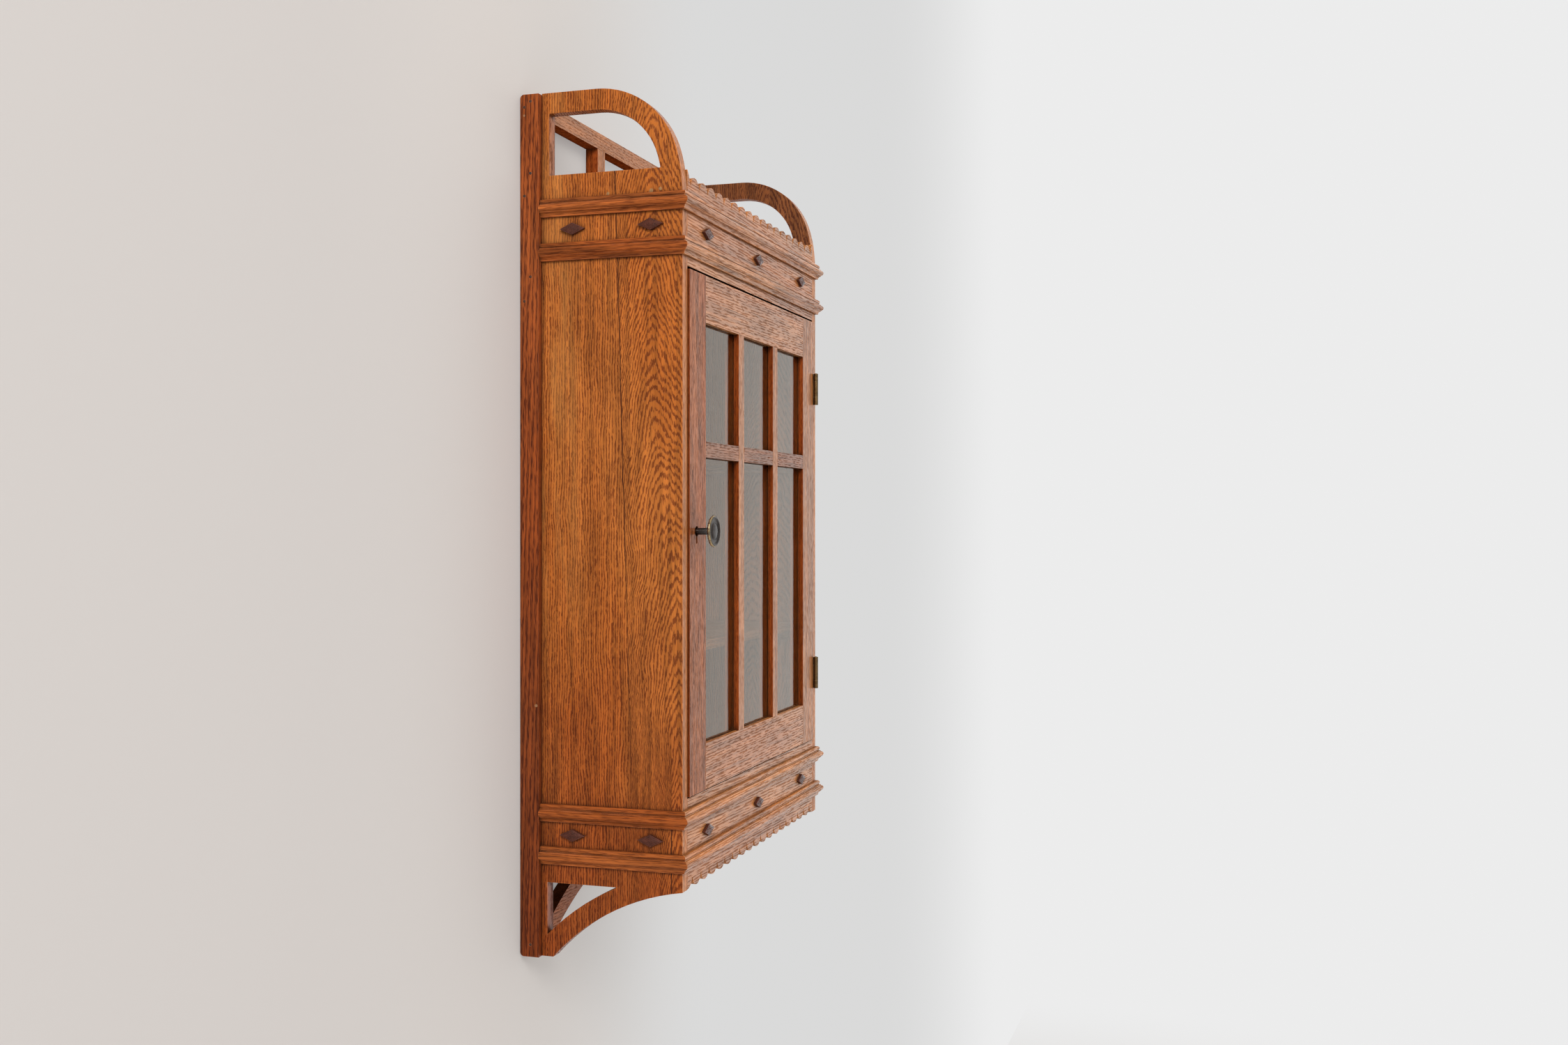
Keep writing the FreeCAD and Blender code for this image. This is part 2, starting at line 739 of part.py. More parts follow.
def key():
    """Key with a round dished bow, a boss in its middle, a stem, a bit and a tip."""
    reach = door_front - s.key_reach
    face = reach - s.key_disc_thickness
    floor = face + s.key_recess_depth
    stem_end = cavity_front + s.bolt_clearance
    recess_radius = s.key_disc_radius - s.key_rim_width
    boss_top = floor - s.key_boss_rise
    boss_curve = (s.key_boss_radius.squared() + s.key_boss_rise.squared()) / (s.key_boss_rise * 2)
    collar_start = reach + s.key_collar_length
    edge_round = s.key_disc_thickness / 2
    outline = (Outline((boss_top, ZERO)).arc((floor, s.key_boss_radius), boss_curve, -1)
               .line((floor, recess_radius)).line((face, recess_radius + s.key_recess_depth / 2))
               .line((face, s.key_disc_radius - edge_round))
               .arc((face + edge_round, s.key_disc_radius), edge_round, -1)
               .arc((reach, s.key_disc_radius - edge_round), edge_round, -1)
               .line((reach, s.key_collar_radius)).line((collar_start, s.key_stem_radius))
               .line((stem_end, s.key_stem_radius)).line((stem_end, s.key_tip_radius))
               .line((door_back, s.key_tip_radius)).line((door_back, ZERO)).close())
    body = doc.addObject("PartDesign::Body", "key_turned")
    sketch = sketch_on(body, "XY_Plane", "key_sketch", [outline.mapped(lambda c: (c[1], c[0]), -1)])
    turned = body.newObject("PartDesign::Revolution", "key_revolution")
    turned.Profile = sketch
    turned.ReferenceAxis = (sketch, ["V_Axis"])
    turned.Angle = 360
    place(body, key_x, ZERO, key_level)
    bit_front = stem_end
    bit = box("key_bit", (key_x - s.key_bit_thickness / 2, key_x + s.key_bit_thickness / 2),
              (bit_front, bit_front + s.key_bit_width),
              (key_level - s.key_bit_length, key_level))
    return piece(fuse("key", body, bit))


key()


# Side boards: arched top with a D-shaped opening, scooped bracket foot with a cornered opening.
def scoop_centre(foot_depth):
    """Depth and level of the centre of the scoop, which runs from the foot to the front edge."""
    across, rise = s.case_depth - foot_depth, s.bracket_tip_level
    chord = (across.squared() + rise.squared()).root()
    away = (s.scoop_radius.squared() - chord.squared() / 4).root()
    return (foot_depth + across / 2 + rise / chord * away, rise / 2 - across / chord * away)


def side_outline():
    """Outline and the two openings, Y across and the level up."""
    depth = s.case_depth
    sweep = s.arch_side_sweep
    shoulder = s.arch_shoulder_radius
    long_radius = s.arch_side_radius
    arch_top = s.post_height + s.arch_rise
    spread = long_radius - shoulder
    long_centre_depth = depth - long_radius
    shoulder_centre_depth = long_centre_depth + spread * sweep.cosine()
    shoulder_centre_level = arch_top - shoulder
    long_centre_level = shoulder_centre_level - spread * sweep.sine()
    knee = (-(shoulder_centre_depth + shoulder * sweep.cosine()),
            shoulder_centre_level + shoulder * sweep.sine())
    foot_depth = s.post_depth + s.bracket_foot_length
    scoop_centre_depth, scoop_centre_level = scoop_centre(foot_depth)
    outside = (Outline((-s.post_depth, ZERO)).line((-s.post_depth, arch_top))
               .line((-shoulder_centre_depth, arch_top)).arc(knee, shoulder, 1)
               .arc((-depth, long_centre_level), long_radius, 1)
               .line((-depth, s.bracket_tip_level))
               .arc((-foot_depth, ZERO), s.scoop_radius, -1).close())
    inner = shoulder - s.arch_rim
    inner_long = long_radius - s.arch_rim
    inner_knee = (-(shoulder_centre_depth + inner * sweep.cosine()),
                  shoulder_centre_level + inner * sweep.sine())
    window_top = arch_top - s.arch_rim
    sill = window_top - s.arch_window_height
    sill_rise = sill - long_centre_level
    sill_end = long_centre_depth + (inner_long.squared() - sill_rise.squared()).root()
    back = -(s.post_depth + s.arch_back_rim)
    window = (Outline((back, sill)).line((back, window_top)).line((-shoulder_centre_depth, window_top))
              .arc(inner_knee, inner, 1).arc((-sill_end, sill), inner_long, 1).close())
    curve = s.scoop_radius + s.bracket_rim
    corner_back = s.post_depth + s.bracket_back_rim
    across = scoop_centre_depth - corner_back
    low_corner = (curve.squared() - across.squared()).root() + scoop_centre_level
    top = s.bracket_top_level
    rise = top - scoop_centre_level
    front_corner = scoop_centre_depth - (curve.squared() - rise.squared()).root()
    bracket = (Outline((-corner_back, top)).line((-corner_back, low_corner))
               .arc((-front_corner, top), curve, 1).close())
    return [outside, window, bracket]


def housings(side):
    """Grooves that take the ends of the case top and bottom."""
    inner = half_inside * side
    deep = (half_inside + s.housing_depth) * side
    x = (deep, inner + overrun) if side < 0 else (inner - overrun, deep)
    return [
        box(f"{name}_housing_{'left' if side < 0 else 'right'}", x,
            (frieze_back, -s.post_depth + overrun), (low, low + s.case_board_thickness))
        for name, low in (("top", case_top),
                          ("bottom", s.case_bottom_level - s.case_board_thickness))]


side_left = padded("side_left_blank", "YZ_Plane", side_outline(), s.side_thickness, -half_width, ZERO)
side_right = padded("side_right_blank", "YZ_Plane", side_outline(), s.side_thickness,
                    half_inside, ZERO)
piece(cut("side_left", side_left, *housings(-1), keeper_mortise, keeper_recess))
piece(cut("side_right", side_right, *housings(1), case_leaf_recesses, case_screw_blanks))


def case_board(name, low):
    """Board housed in both sides and notched round the posts."""
    high = low + s.case_board_thickness
    reach = half_inside + s.housing_depth
    main = box(f"{name}_main", (-reach, reach), (frieze_back, -s.post_depth), (low, high))
    tail = box(f"{name}_tail", (-post_inside, post_inside), (-s.post_depth, ZERO), (low, high))
    return piece(fuse(name, main, tail))


case_board("case_top", case_top)
case_board("case_bottom", s.case_bottom_level - s.case_board_thickness)

cleats = []
for shelf, top in (("upper", cross_top), ("lower", s.case_bottom_level + s.shelf_lower_rise)):
    bottom = top - s.shelf_thickness
    piece(box(f"shelf_{shelf}", (-half_inside, half_inside), (-s.case_depth + (stop_back - front),
                                                              -s.post_depth), (bottom, top)))
    for side, x in (("left", (-half_inside, -half_inside + s.cleat_size)),
                    ("right", (half_inside - s.cleat_size, half_inside))):
        cleats.append(box(f"cleat_{shelf}_{side}", x,
                          (stop_back + s.cleat_front_setback, -s.post_depth),
                          (bottom - s.cleat_size, bottom)))
piece(group("shelf_cleats", cleats))
piece(box("door_stop", (-half_inside, -half_inside + s.stop_width),
          (door_back + s.stop_clearance, stop_back), (s.case_bottom_level, case_top)))


# Friezes: the lobes of the cresting and the apron are one lobe repeated along the board.
def frieze(name, cusp, straight, margin, rise, lobe_turn):
    """Board with a row of rounded lobes along one edge and a horn at each end."""
    pitch = (half_inside * 2 - margin * 2) / s.lobe_count
    half_chord = (pitch - s.lobe_gap) / 2
    radius = (half_chord.squared() + s.lobe_height.squared()) / (s.lobe_height * 2)
    first_middle = -half_inside + margin + pitch / 2
    body = doc.addObject("PartDesign::Body", name)
    board = sketch_on(body, "XZ_Plane", f"{name}_sketch",
                      [rectangle((-half_inside, half_inside),
                                 (straight, cusp) if lobe_turn > 0 else (cusp, straight))])
    pad = body.newObject("PartDesign::Pad", f"{name}_pad")
    pad.Profile = board
    bind(pad, "Length", s.frieze_thickness)
    tip = cusp + s.lobe_height * lobe_turn
    horn_inset = margin - s.lobe_gap / 2
    if rise is None:
        horn_radius = (horn_inset.squared() + s.lobe_height.squared()) / (s.lobe_height * 2)
        left_horn = (Outline((-half_inside, cusp)).line((-half_inside, tip))
                     .arc((-half_inside + horn_inset, cusp), horn_radius, -lobe_turn).close())
    else:
        left_horn = (Outline((-half_inside, cusp)).line((-half_inside, cusp + rise))
                     .line((-half_inside + horn_inset / 2, tip))
                     .line((-half_inside + horn_inset, cusp)).close())
    right_horn = left_horn.mapped(lambda c: (-c[0], c[1]), -1)
    for side, horn in (("left", left_horn), ("right", right_horn)):
        horn_sketch = sketch_on(body, "XZ_Plane", f"{name}_{side}_horn_sketch", [horn])
        horn_pad = body.newObject("PartDesign::Pad", f"{name}_{side}_horn")
        horn_pad.Profile = horn_sketch
        bind(horn_pad, "Length", s.frieze_thickness)
    lobe = (Outline((first_middle + half_chord, cusp))
            .arc((first_middle, tip), radius, lobe_turn)
            .arc((first_middle - half_chord, cusp), radius, lobe_turn).close())
    lobe_sketch = sketch_on(body, "XZ_Plane", f"{name}_lobe_sketch", [lobe])
    lobe_pad = body.newObject("PartDesign::Pad", f"{name}_lobe")
    lobe_pad.Profile = lobe_sketch
    bind(lobe_pad, "Length", s.frieze_thickness)
    doc.recompute()
    row = body.newObject("PartDesign::LinearPattern", f"{name}_lobes")
    row.Originals = [lobe_pad]
    row.Direction = (lobe_sketch, ["H_Axis"])
    bind(row, "Length", pitch * (s.lobe_count - 1))
    bind(row, "Occurrences", s.lobe_count)
    body.Tip = row
    place(body, ZERO, frieze_back, ZERO)
    return piece(body)


frieze("frieze_top", case_top + s.cresting_height, case_top, s.cresting_end_margin,
       s.cresting_end_rise, 1)
frieze("frieze_bottom", s.case_bottom_level - s.apron_height, s.case_bottom_level,
       s.apron_end_margin, None, -1)


# Mouldings: one profile for the front lengths and the returns, mitred at the front corners.
def moulding_profile():
    """Profile as projection and drop from the moulding's top edge."""
    points = {name: (s.moulding_projection * out, s.moulding_height * down)
              for name, (out, down) in PROFILE_SHARES.items()}
    return (Outline((ZERO, ZERO)).line(points["bead_start_share"])
            .arc(points["bead_end_share"], s.bead_radius, 1)
            .line(points["bead_foot_share"]).line(points["groove_top_share"])
            .line(points["groove_foot_share"]).line(points["step_share"])
            .line(points["nose_top_share"]).arc(points["nose_foot_share"], s.nose_radius, 1)
            .line(points["quirk_share"]).line(points["quirk_foot_share"])
            .arc(points["cove_foot_share"], s.cove_radius, -1)
            .line(points["foot_share"]).line((ZERO, s.moulding_height)).close())


def mitre_tool(name, corner_side, keep_front):
    """Full-height prism that takes away what lies beyond the mitre of one front corner."""
    side = corner_side
    inner = (half_width * side, front)
    reach = s.moulding_projection + overrun
    tip = ((half_width + reach) * side, front - reach)
    third = (tip[0], inner[1]) if keep_front else (inner[0], tip[1])
    outline = Outline(inner).line(tip).line(third).close()
    return padded(name, "XY_Plane", [outline], s.post_height, ZERO, ZERO)


front_mitres = [mitre_tool("front_mitre_left", -1, True), mitre_tool("front_mitre_right", 1, True)]
return_mitres = {-1: mitre_tool("return_mitre_left", -1, False),
                 1: mitre_tool("return_mitre_right", 1, False)}
moulding_levels = {
    "top_upper": case_top + s.moulding_top_upper_rise,
    "top_lower": case_top + s.moulding_top_lower_rise,
    "bottom_upper": s.case_bottom_level - s.moulding_bottom_upper_drop,
    "bottom_lower": s.case_bottom_level - s.moulding_bottom_lower_drop,
}
returns = {-1: [], 1: []}
for label, top in moulding_levels.items():
    reach = half_width + s.moulding_projection
    across = moulding_profile().mapped(lambda c: (front - c[0], top - c[1]), 1)
    length = padded(f"moulding_{label}_length", "YZ_Plane", [across], reach * 2, -reach, ZERO)
    piece(cut(f"moulding_{label}", length, *front_mitres))
    for side in (-1, 1):
        along = moulding_profile().mapped(
            lambda c: ((half_width + c[0]) * side, top - c[1]), -side)
        name = f"return_{label}_{'left' if side < 0 else 'right'}"
        blank = padded(f"{name}_length", "XZ_Plane", [along],
                       s.case_depth + s.moulding_projection - s.post_depth, ZERO, -s.post_depth)
        returns[side].append(cut(name, blank, return_mitres[side]))
piece(group("moulding_returns_left", returns[-1]))
piece(group("moulding_returns_right", returns[1]))


# Studs: raised lozenges with a chamfered face, planted between the mouldings.
def stud(name, role, x, y, level, toward):
    """Lozenge padded along the plane's normal, its outer face chamfered."""
    half_length, half_height = s.stud_length / 2, s.stud_height / 2
    outline = (Outline((half_length, ZERO)).line((ZERO, half_height)).line((-half_length, ZERO))
               .line((ZERO, -half_height)).close())
    body = padded(name, role, [outline], s.stud_thickness, x, y, level)
    doc.recompute()
    pad = body.Tip
    faces = enumerate(pad.Shape.Faces, start=1)
    outer = next(number for number, face in faces
                 if face.normalAt(0, 0).dot(toward) > math.cos(math.radians(1)))
    chamfer = body.newObject("PartDesign::Chamfer", f"{name}_chamfer")
    chamfer.Base = (pad, [f"Face{outer}"])
    bind(chamfer, "Size", s.stud_chamfer)
    body.Tip = chamfer
    return body


stud_levels = {
    row: (moulding_levels[f"{row}_upper"] - s.moulding_height + moulding_levels[f"{row}_lower"]) / 2
    for row in ("top", "bottom")}
for label, x, toward in (("left", -half_width - s.stud_thickness, -X_AXIS),
                         ("right", half_width, X_AXIS)):
    piece(group(f"studs_{label}", [
        stud(f"stud_{label}_{row}_{place_name}", "YZ_Plane", x, -depth, level, toward)
        for row, level in stud_levels.items()
        for place_name, depth in (("rear", s.stud_side_rear_depth),
                                  ("fore", s.stud_side_front_depth))]))
piece(group("studs_front", [
    stud(f"stud_front_{row}_{number}", "XZ_Plane", s.stud_front_offset * number, front, level, -Y_AXIS)
    for row, level in stud_levels.items() for number in (-1, 0, 1)]))


# Door: stiles and rails tenoned together, with glazing bars and panes held by beads from behind.
shoulder_y = door_front + s.bar_face_thickness
rebate = (s.upright_bar_width - s.bar_tongue_width) / 2
opening_x = door_edge - s.stile_width
rebate_y = (shoulder_y, door_back + overrun)
tenon_y = widened(((door_front + door_back) / 2, (door_front + door_back) / 2), s.tenon_thickness / 2)
tenon_levels = {
    "bottom": (door_bottom + s.tenon_shoulder, opening_bottom - s.tenon_shoulder),
    "top": (opening_top + s.tenon_shoulder, door_top - s.tenon_shoulder),
}


def stile(name, side, *tools):
    """Upright of the door's frame with mortises and a rebate for the glass."""
    outer, inner = door_edge * side, opening_x * side
    x = (outer, inner) if side < 0 else (inner, outer)
    blank = box(f"{name}_blank", x, (door_front, door_back), (door_bottom, door_top))
    mortise_end = (opening_x + s.tenon_length) * side
    mortise_x = (mortise_end, inner + overrun) if side < 0 else (inner - overrun, mortise_end)
    mortises = [box(f"{name}_{row}_mortise", mortise_x, tenon_y, level)
                for row, level in tenon_levels.items()]
    rebate_end = (opening_x + rebate) * side
    rebate_x = (rebate_end, inner + overrun) if side < 0 else (inner - overrun, rebate_end)
    groove = box(f"{name}_rebate", rebate_x, rebate_y, (opening_bottom - rebate, opening_top + rebate))
    return piece(cut(name, blank, *mortises, groove, *tools))


stile("stile_left", -1, stile_key_hole, lock_outside, bolt_slot, cover_seat, lock_screw_blanks)
stile("stile_right", 1, door_leaf_recesses, door_screw_blanks)


def door_rail(row, level, rebate_level):
    """Rail with a tenon at each end and a rebate along its inner edge."""
    name = f"door_rail_{row}"
    main = box(f"{name}_main", (-opening_x, opening_x), (door_front, door_back), level)
    tenon_x = opening_x + s.tenon_length
    tenons = box(f"{name}_tenons", (-tenon_x, tenon_x), tenon_y, tenon_levels[row])
    groove = box(f"{name}_rebate", (-opening_x - overrun, opening_x + overrun), rebate_y, rebate_level)
    return piece(cut(name, fuse(f"{name}_blank", main, tenons), groove))


door_rail("top", (opening_top, door_top), (opening_top - overrun, opening_top + rebate))
door_rail("bottom", (door_bottom, opening_bottom), (opening_bottom - rebate, opening_bottom + overrun))

pane_space = (opening_x * 2 - s.upright_bar_width * 2) / s.pane_column_count
bar_half = pane_space / 2
upright_bars = {"left": (-bar_half - s.upright_bar_width, -bar_half),
                "right": (bar_half, bar_half + s.upright_bar_width)}
tongue_y = (shoulder_y, door_back)
for label, (low, high) in upright_bars.items():
    name = f"upright_bar_{label}"
    face = box(f"{name}_face", (low, high), (door_front, shoulder_y), (opening_bottom, opening_top))
    tongue = box(f"{name}_tongue", (low + rebate, high - rebate), tongue_y,
                 (opening_bottom - rebate, opening_top + rebate))
    piece(fuse(name, face, tongue))

cross_level = (cross_top - s.cross_bar_height, cross_top)
columns = {"left": (-opening_x, -bar_half - s.upright_bar_width), "middle": (-bar_half, bar_half),
           "right": (bar_half + s.upright_bar_width, opening_x)}
cross_tongue_level = widened(cross_level, -rebate)
for label, span in columns.items():
    name = f"cross_bar_{label}"
    face = box(f"{name}_face", span, (door_front, shoulder_y), cross_level)
    tongue = box(f"{name}_tongue", widened(span, rebate), tongue_y, cross_tongue_level)
    piece(fuse(name, face, tongue))

glass_back = shoulder_y + s.glass_thickness
rows = {"upper": (cross_level[1], opening_top), "lower": (opening_bottom, cross_level[0])}
beads = []
for row, level in rows.items():
    for column, span in columns.items():
        pane_x = widened(span, rebate - s.glass_clearance)
        pane_level = widened(level, rebate - s.glass_clearance)
        piece(box(f"pane_{row}_{column}", pane_x, (shoulder_y, glass_back), pane_level))
        bead_y = (glass_back, glass_back + s.bead_depth)
        wide, tall = widened(span, rebate), widened(level, rebate)
        for label, strip_x, strip_level in (("left", (wide[0], span[0]), level),
                                            ("right", (span[1], wide[1]), level),
                                            ("foot", wide, (tall[0], level[0])),
                                            ("head", wide, (level[1], tall[1]))):
            beads.append(box(f"bead_{row}_{column}_{label}", strip_x, bead_y, strip_level))
piece(group("glazing_beads", beads))

doc.recompute()

for obj in doc.Objects:
    if {"Invalid", "Error"} & set(obj.State):
        raise RuntimeError(f"{obj.Name} failed: {obj.State}")

os.makedirs("parts", exist_ok=True)
for obj in pieces:
    shape = obj.Shape
    if shape.isNull() or not shape.isValid():
        raise RuntimeError(f"{obj.Label} has no valid shape")
    print(f"{obj.Label}: {len(shape.Solids)} solids, {shape.Volume:.1f} mm3")
    shape.exportStep(f"parts/{obj.Label}.step")
print(f"{len(pieces)} pieces")
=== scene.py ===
"""Finished look of the wall cabinet: eased woodwork, old glass, metalwork and a pale stage."""
import json
import math

import bpy
from bpy.props import FloatProperty, FloatVectorProperty, PointerProperty
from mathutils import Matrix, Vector

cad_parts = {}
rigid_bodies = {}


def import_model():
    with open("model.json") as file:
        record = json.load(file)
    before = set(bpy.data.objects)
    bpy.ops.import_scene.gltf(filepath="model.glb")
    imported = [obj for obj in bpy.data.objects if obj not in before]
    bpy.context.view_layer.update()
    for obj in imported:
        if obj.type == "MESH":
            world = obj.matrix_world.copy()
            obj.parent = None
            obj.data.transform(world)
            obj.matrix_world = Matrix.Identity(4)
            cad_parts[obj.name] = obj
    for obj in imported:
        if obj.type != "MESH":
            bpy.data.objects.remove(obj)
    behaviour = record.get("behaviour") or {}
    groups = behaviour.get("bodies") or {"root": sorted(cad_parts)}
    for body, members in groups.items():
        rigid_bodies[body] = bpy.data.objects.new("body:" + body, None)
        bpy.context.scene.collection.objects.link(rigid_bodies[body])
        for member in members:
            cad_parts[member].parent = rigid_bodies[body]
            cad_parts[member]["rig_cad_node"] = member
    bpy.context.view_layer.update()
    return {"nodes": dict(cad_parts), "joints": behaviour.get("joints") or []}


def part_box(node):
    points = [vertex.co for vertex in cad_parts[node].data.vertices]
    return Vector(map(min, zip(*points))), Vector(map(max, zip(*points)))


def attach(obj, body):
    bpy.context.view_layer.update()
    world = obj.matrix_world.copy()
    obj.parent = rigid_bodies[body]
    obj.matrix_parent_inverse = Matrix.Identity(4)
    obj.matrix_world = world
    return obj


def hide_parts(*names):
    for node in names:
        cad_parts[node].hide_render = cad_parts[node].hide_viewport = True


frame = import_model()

bl_info = {
    "name": "Wall cabinet",
    "version": (1, 0, 0),
    "blender": (4, 5, 0),
    "location": "3D View > Sidebar > Wall cabinet",
    "description": "Builds the finished pieces of a glazed oak wall cabinet round its packed model",
    "category": "Object",
}

UNDO = {"REGISTER", "UNDO"}
MM = 0.001
MERGE_DISTANCE = 0.00002
FLAT_ANGLE = math.radians(0.5)
ARRIS_ANGLE = math.radians(32)
SMOOTH_ANGLE = math.radians(40)
QUARTER = math.pi / 2
LEFT, RIGHT, FORWARD, UP, DOWN = (-1, 0, 0), (1, 0, 0), (0, -1, 0), (0, 0, 1), (0, 0, -1)

# Level of the feet, and how far the posts' and the side boards' faces lie from the middle.
FEET = -0.658
POST_FACE = 0.2305
SIDE_FACE = 0.2235
INNER_FACE = 0.2116


# Settings that a user would change.
def colour(name, description, default):
    return FloatVectorProperty(name=name, description=description, subtype="COLOR", size=3,
                               min=0.0, max=1.0, default=default)


def length(name, description, default):
    return FloatProperty(name=name, description=description, default=default, min=0.0,
                         subtype="DISTANCE", unit="LENGTH", precision=5)


# The lighter wood and the darker grain of each kind of board.
WOOD_TONES = {
    "side": ("the side boards", (0.460, 0.142, 0.027), (0.150, 0.033, 0.008)),
    "post": ("the two posts", (0.33, 0.080, 0.018), (0.09, 0.018, 0.006)),
    "front": ("the friezes and the gallery", (0.49, 0.195, 0.058), (0.24, 0.084, 0.026)),
    "door": ("the door's rails and glazing bars", (0.46, 0.180, 0.054), (0.21, 0.072, 0.021)),
    "stile": ("the lock stile", (0.35, 0.105, 0.026), (0.13, 0.034, 0.009)),
    "cross": ("the cross bar", (0.28, 0.100, 0.032), (0.12, 0.036, 0.012)),
    "return": ("the mouldings' returns", (0.36, 0.098, 0.022), (0.13, 0.030, 0.008)),
    "stud": ("the studs", (0.100, 0.028, 0.016), (0.045, 0.014, 0.009)),
    "reveal": ("the glazing bars' sides", (0.29, 0.062, 0.013), (0.13, 0.024, 0.006)),
    # The side boards' front edges are painted lighter, a painted highlight.
    "edge": ("the side boards' front edges", (0.54, 0.22, 0.080), (0.30, 0.105, 0.036)),
    "inner": ("the boards inside the case", (0.190, 0.070, 0.022), (0.065, 0.023, 0.008)),
    "bead": ("the glazing beads", (0.065, 0.023, 0.008), (0.030, 0.011, 0.005)),
    # Near-black faces in the gaps round the door and on the arched rail's top: painted shade.
    "raw": ("unvarnished edges", (0.045, 0.013, 0.005), (0.020, 0.006, 0.003)),
}


class WallCabinetWoods(bpy.types.PropertyGroup):
    """Colours of the woods, each with its lighter wood and its darker grain."""
    __annotations__ = {
        f"{key}_{part}": colour(f"{key.capitalize()}, {part}", f"The {part} tone of {board}", tone)
        for key, (board, *tones) in WOOD_TONES.items()
        for part, tone in zip(("light", "dark"), tones)}


class WallCabinetMetals(bpy.types.PropertyGroup):
    """Colours of the metals and the glass."""
    brass: colour("Brass", "Tarnished hinge brass", (0.17, 0.105, 0.045))
    brass_worn: colour("Brass, worn", "Brass where it is rubbed", (0.50, 0.36, 0.18))
    bronze: colour("Bronze", "Dark bronze of the key", (0.068, 0.057, 0.052))
    bronze_worn: colour("Bronze, worn", "Bronze where the hand rubs it", (0.46, 0.33, 0.17))
    iron: colour("Iron", "Dark iron of the lock and the nails", (0.060, 0.050, 0.043))
    steel: colour("Steel", "Dull steel of the screws and the bolt", (0.33, 0.30, 0.26))
    rust: colour("Rust", "Rust on iron and steel", (0.14, 0.050, 0.020))
    glass: colour("Glass", "Faint tint of the old panes", (0.93, 0.95, 0.90))


class WallCabinetShape(bpy.types.PropertyGroup):
    """Small sizes that the woodwork and the glass are finished to."""
    arris: length("Arris", "Width of the eased edges of the boards", 0.0009)
    joint_arris: length("Joint arris", "Width of the edges where boards meet flush", 0.0005)
    fine_arris: length("Fine arris", "Width of the edges of mouldings and lobes", 0.0003)
    metal_arris: length("Metal arris", "Width of the edges of the metalwork and studs", 0.00018)
    stud_wall: length("Stud wall", "Height of a stud's upright edge below its point", 0.0034)
    long_wave: length("Long waves", "Height of the slow waves in the glass", 0.00016)
    short_wave: length("Short waves", "Height of the quick waves in the glass", 0.00004)
    glass_thickness: length("Glass", "Thickness of the panes", 0.0017)


class WallCabinetStage(bpy.types.PropertyGroup):
    """Backdrop and lights."""
    backdrop: colour("Backdrop", "Pale ground far behind the cabinet", (0.84, 0.84, 0.84))
    wall: colour("Wall", "Pale wall that the cabinet hangs on", (0.63, 0.605, 0.592))
    floor: colour("Floor", "Pale floor below the cabinet", (0.70, 0.69, 0.68))
    lamp_power: FloatProperty(name="Lamp", description="Power of the soft lamp at the left",
                              default=92.0, min=0.0, subtype="POWER", unit="POWER")
    dim_side: FloatProperty(name="Dim side", description="Light that comes from the left",
                            default=0.50, min=0.0, subtype="FACTOR")
    bright_side: FloatProperty(name="Bright side", description="Light that comes from the right",
                               default=1.28, min=0.0, subtype="FACTOR")
    right_tint: colour("Right tint", "Warm tint of the light from the right", (1.0, 0.94, 0.87))


# Selecting, easing and finishing.
MATERIALS = {}


def deselect():
    if bpy.context.mode != "OBJECT":
        bpy.ops.object.mode_set(mode="OBJECT")
    bpy.ops.object.select_all(action="DESELECT")


def pick(*objects):
    """Select these objects and make the last one active."""
    deselect()
    for obj in objects:
        obj.select_set(True)
    bpy.context.view_layer.objects.active = objects[-1]


def named(obj, name):
    obj.name = obj.data.name = name
    return obj


def apply_modifier(kind, name, **settings):
    """Add a modifier to the active object and apply it."""
    modifier = bpy.context.active_object.modifiers.new(name, kind)
    for setting, value in settings.items():
        setattr(modifier, setting, value)
    bpy.ops.object.modifier_apply(modifier=modifier.name)


def merged_copy(node):
    """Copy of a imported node, open in edit mode, with its triangles joined at their corners."""
    pick(frame["nodes"][node])
    bpy.ops.object.duplicate()
    bpy.ops.object.mode_set(mode="EDIT")
    bpy.ops.mesh.select_all(action="SELECT")
    bpy.ops.mesh.remove_doubles(threshold=MERGE_DISTANCE)
    return bpy.context.active_object


def eased(node, width, segments):
    """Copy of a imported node, its triangles merged into faces and its arrises eased."""
    piece = named(merged_copy(node), f"{node}_finished")
    del piece["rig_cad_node"]
    bpy.ops.mesh.dissolve_limited(angle_limit=FLAT_ANGLE)
    bpy.ops.object.mode_set(mode="OBJECT")
    bpy.ops.mesh.customdata_custom_splitnormals_clear()
    apply_modifier("BEVEL", "eased", width=width, segments=segments, limit_method="ANGLE",
                   angle_limit=ARRIS_ANGLE, use_clamp_overlap=True, loop_slide=False)
    bpy.ops.object.shade_smooth_by_angle(angle=SMOOTH_ANGLE)
    apply_modifier("WEIGHTED_NORMAL", "flat", keep_sharp=True, weight=80)
    return piece


def settle(piece, body, slot, finish, *nodes):
    """Give a finished piece its material and its body, and hide the nodes that it stands for; the
    slot is not used.
    """
    piece.data.materials.clear()
    piece.data.materials.append(MATERIALS[finish])
    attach(piece, body)
    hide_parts(*nodes)


def finish_boards(boards, body, slot, width, segments=2, reach=0.60, before=1.0):
    """Ease and finish packed boards, each given as its node, its finish and any other finish
    with the directions that its faces look in, as far as they lie in front of a depth."""
    for node, finish, *others in boards:
        piece = eased(node, width, segments)
        settle(piece, body, slot, finish, node)
        for number, (other, *directions) in enumerate(others, 1):
            piece.data.materials.append(MATERIALS[other])
            for face in piece.data.polygons:
                looks = any(face.normal.dot(Vector(way)) > reach for way in directions)
                if looks and face.center.y < before:
                    face.material_index = number


def alike(finish, nodes):
    """Rows for finish_boards of boards that share one finish."""
    return [(node, finish) for node in nodes.split()]


def coat_node(node, finish):
    """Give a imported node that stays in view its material."""
    mesh = frame["nodes"][node].data
    mesh.materials.clear()
    mesh.materials.append(MATERIALS[finish])


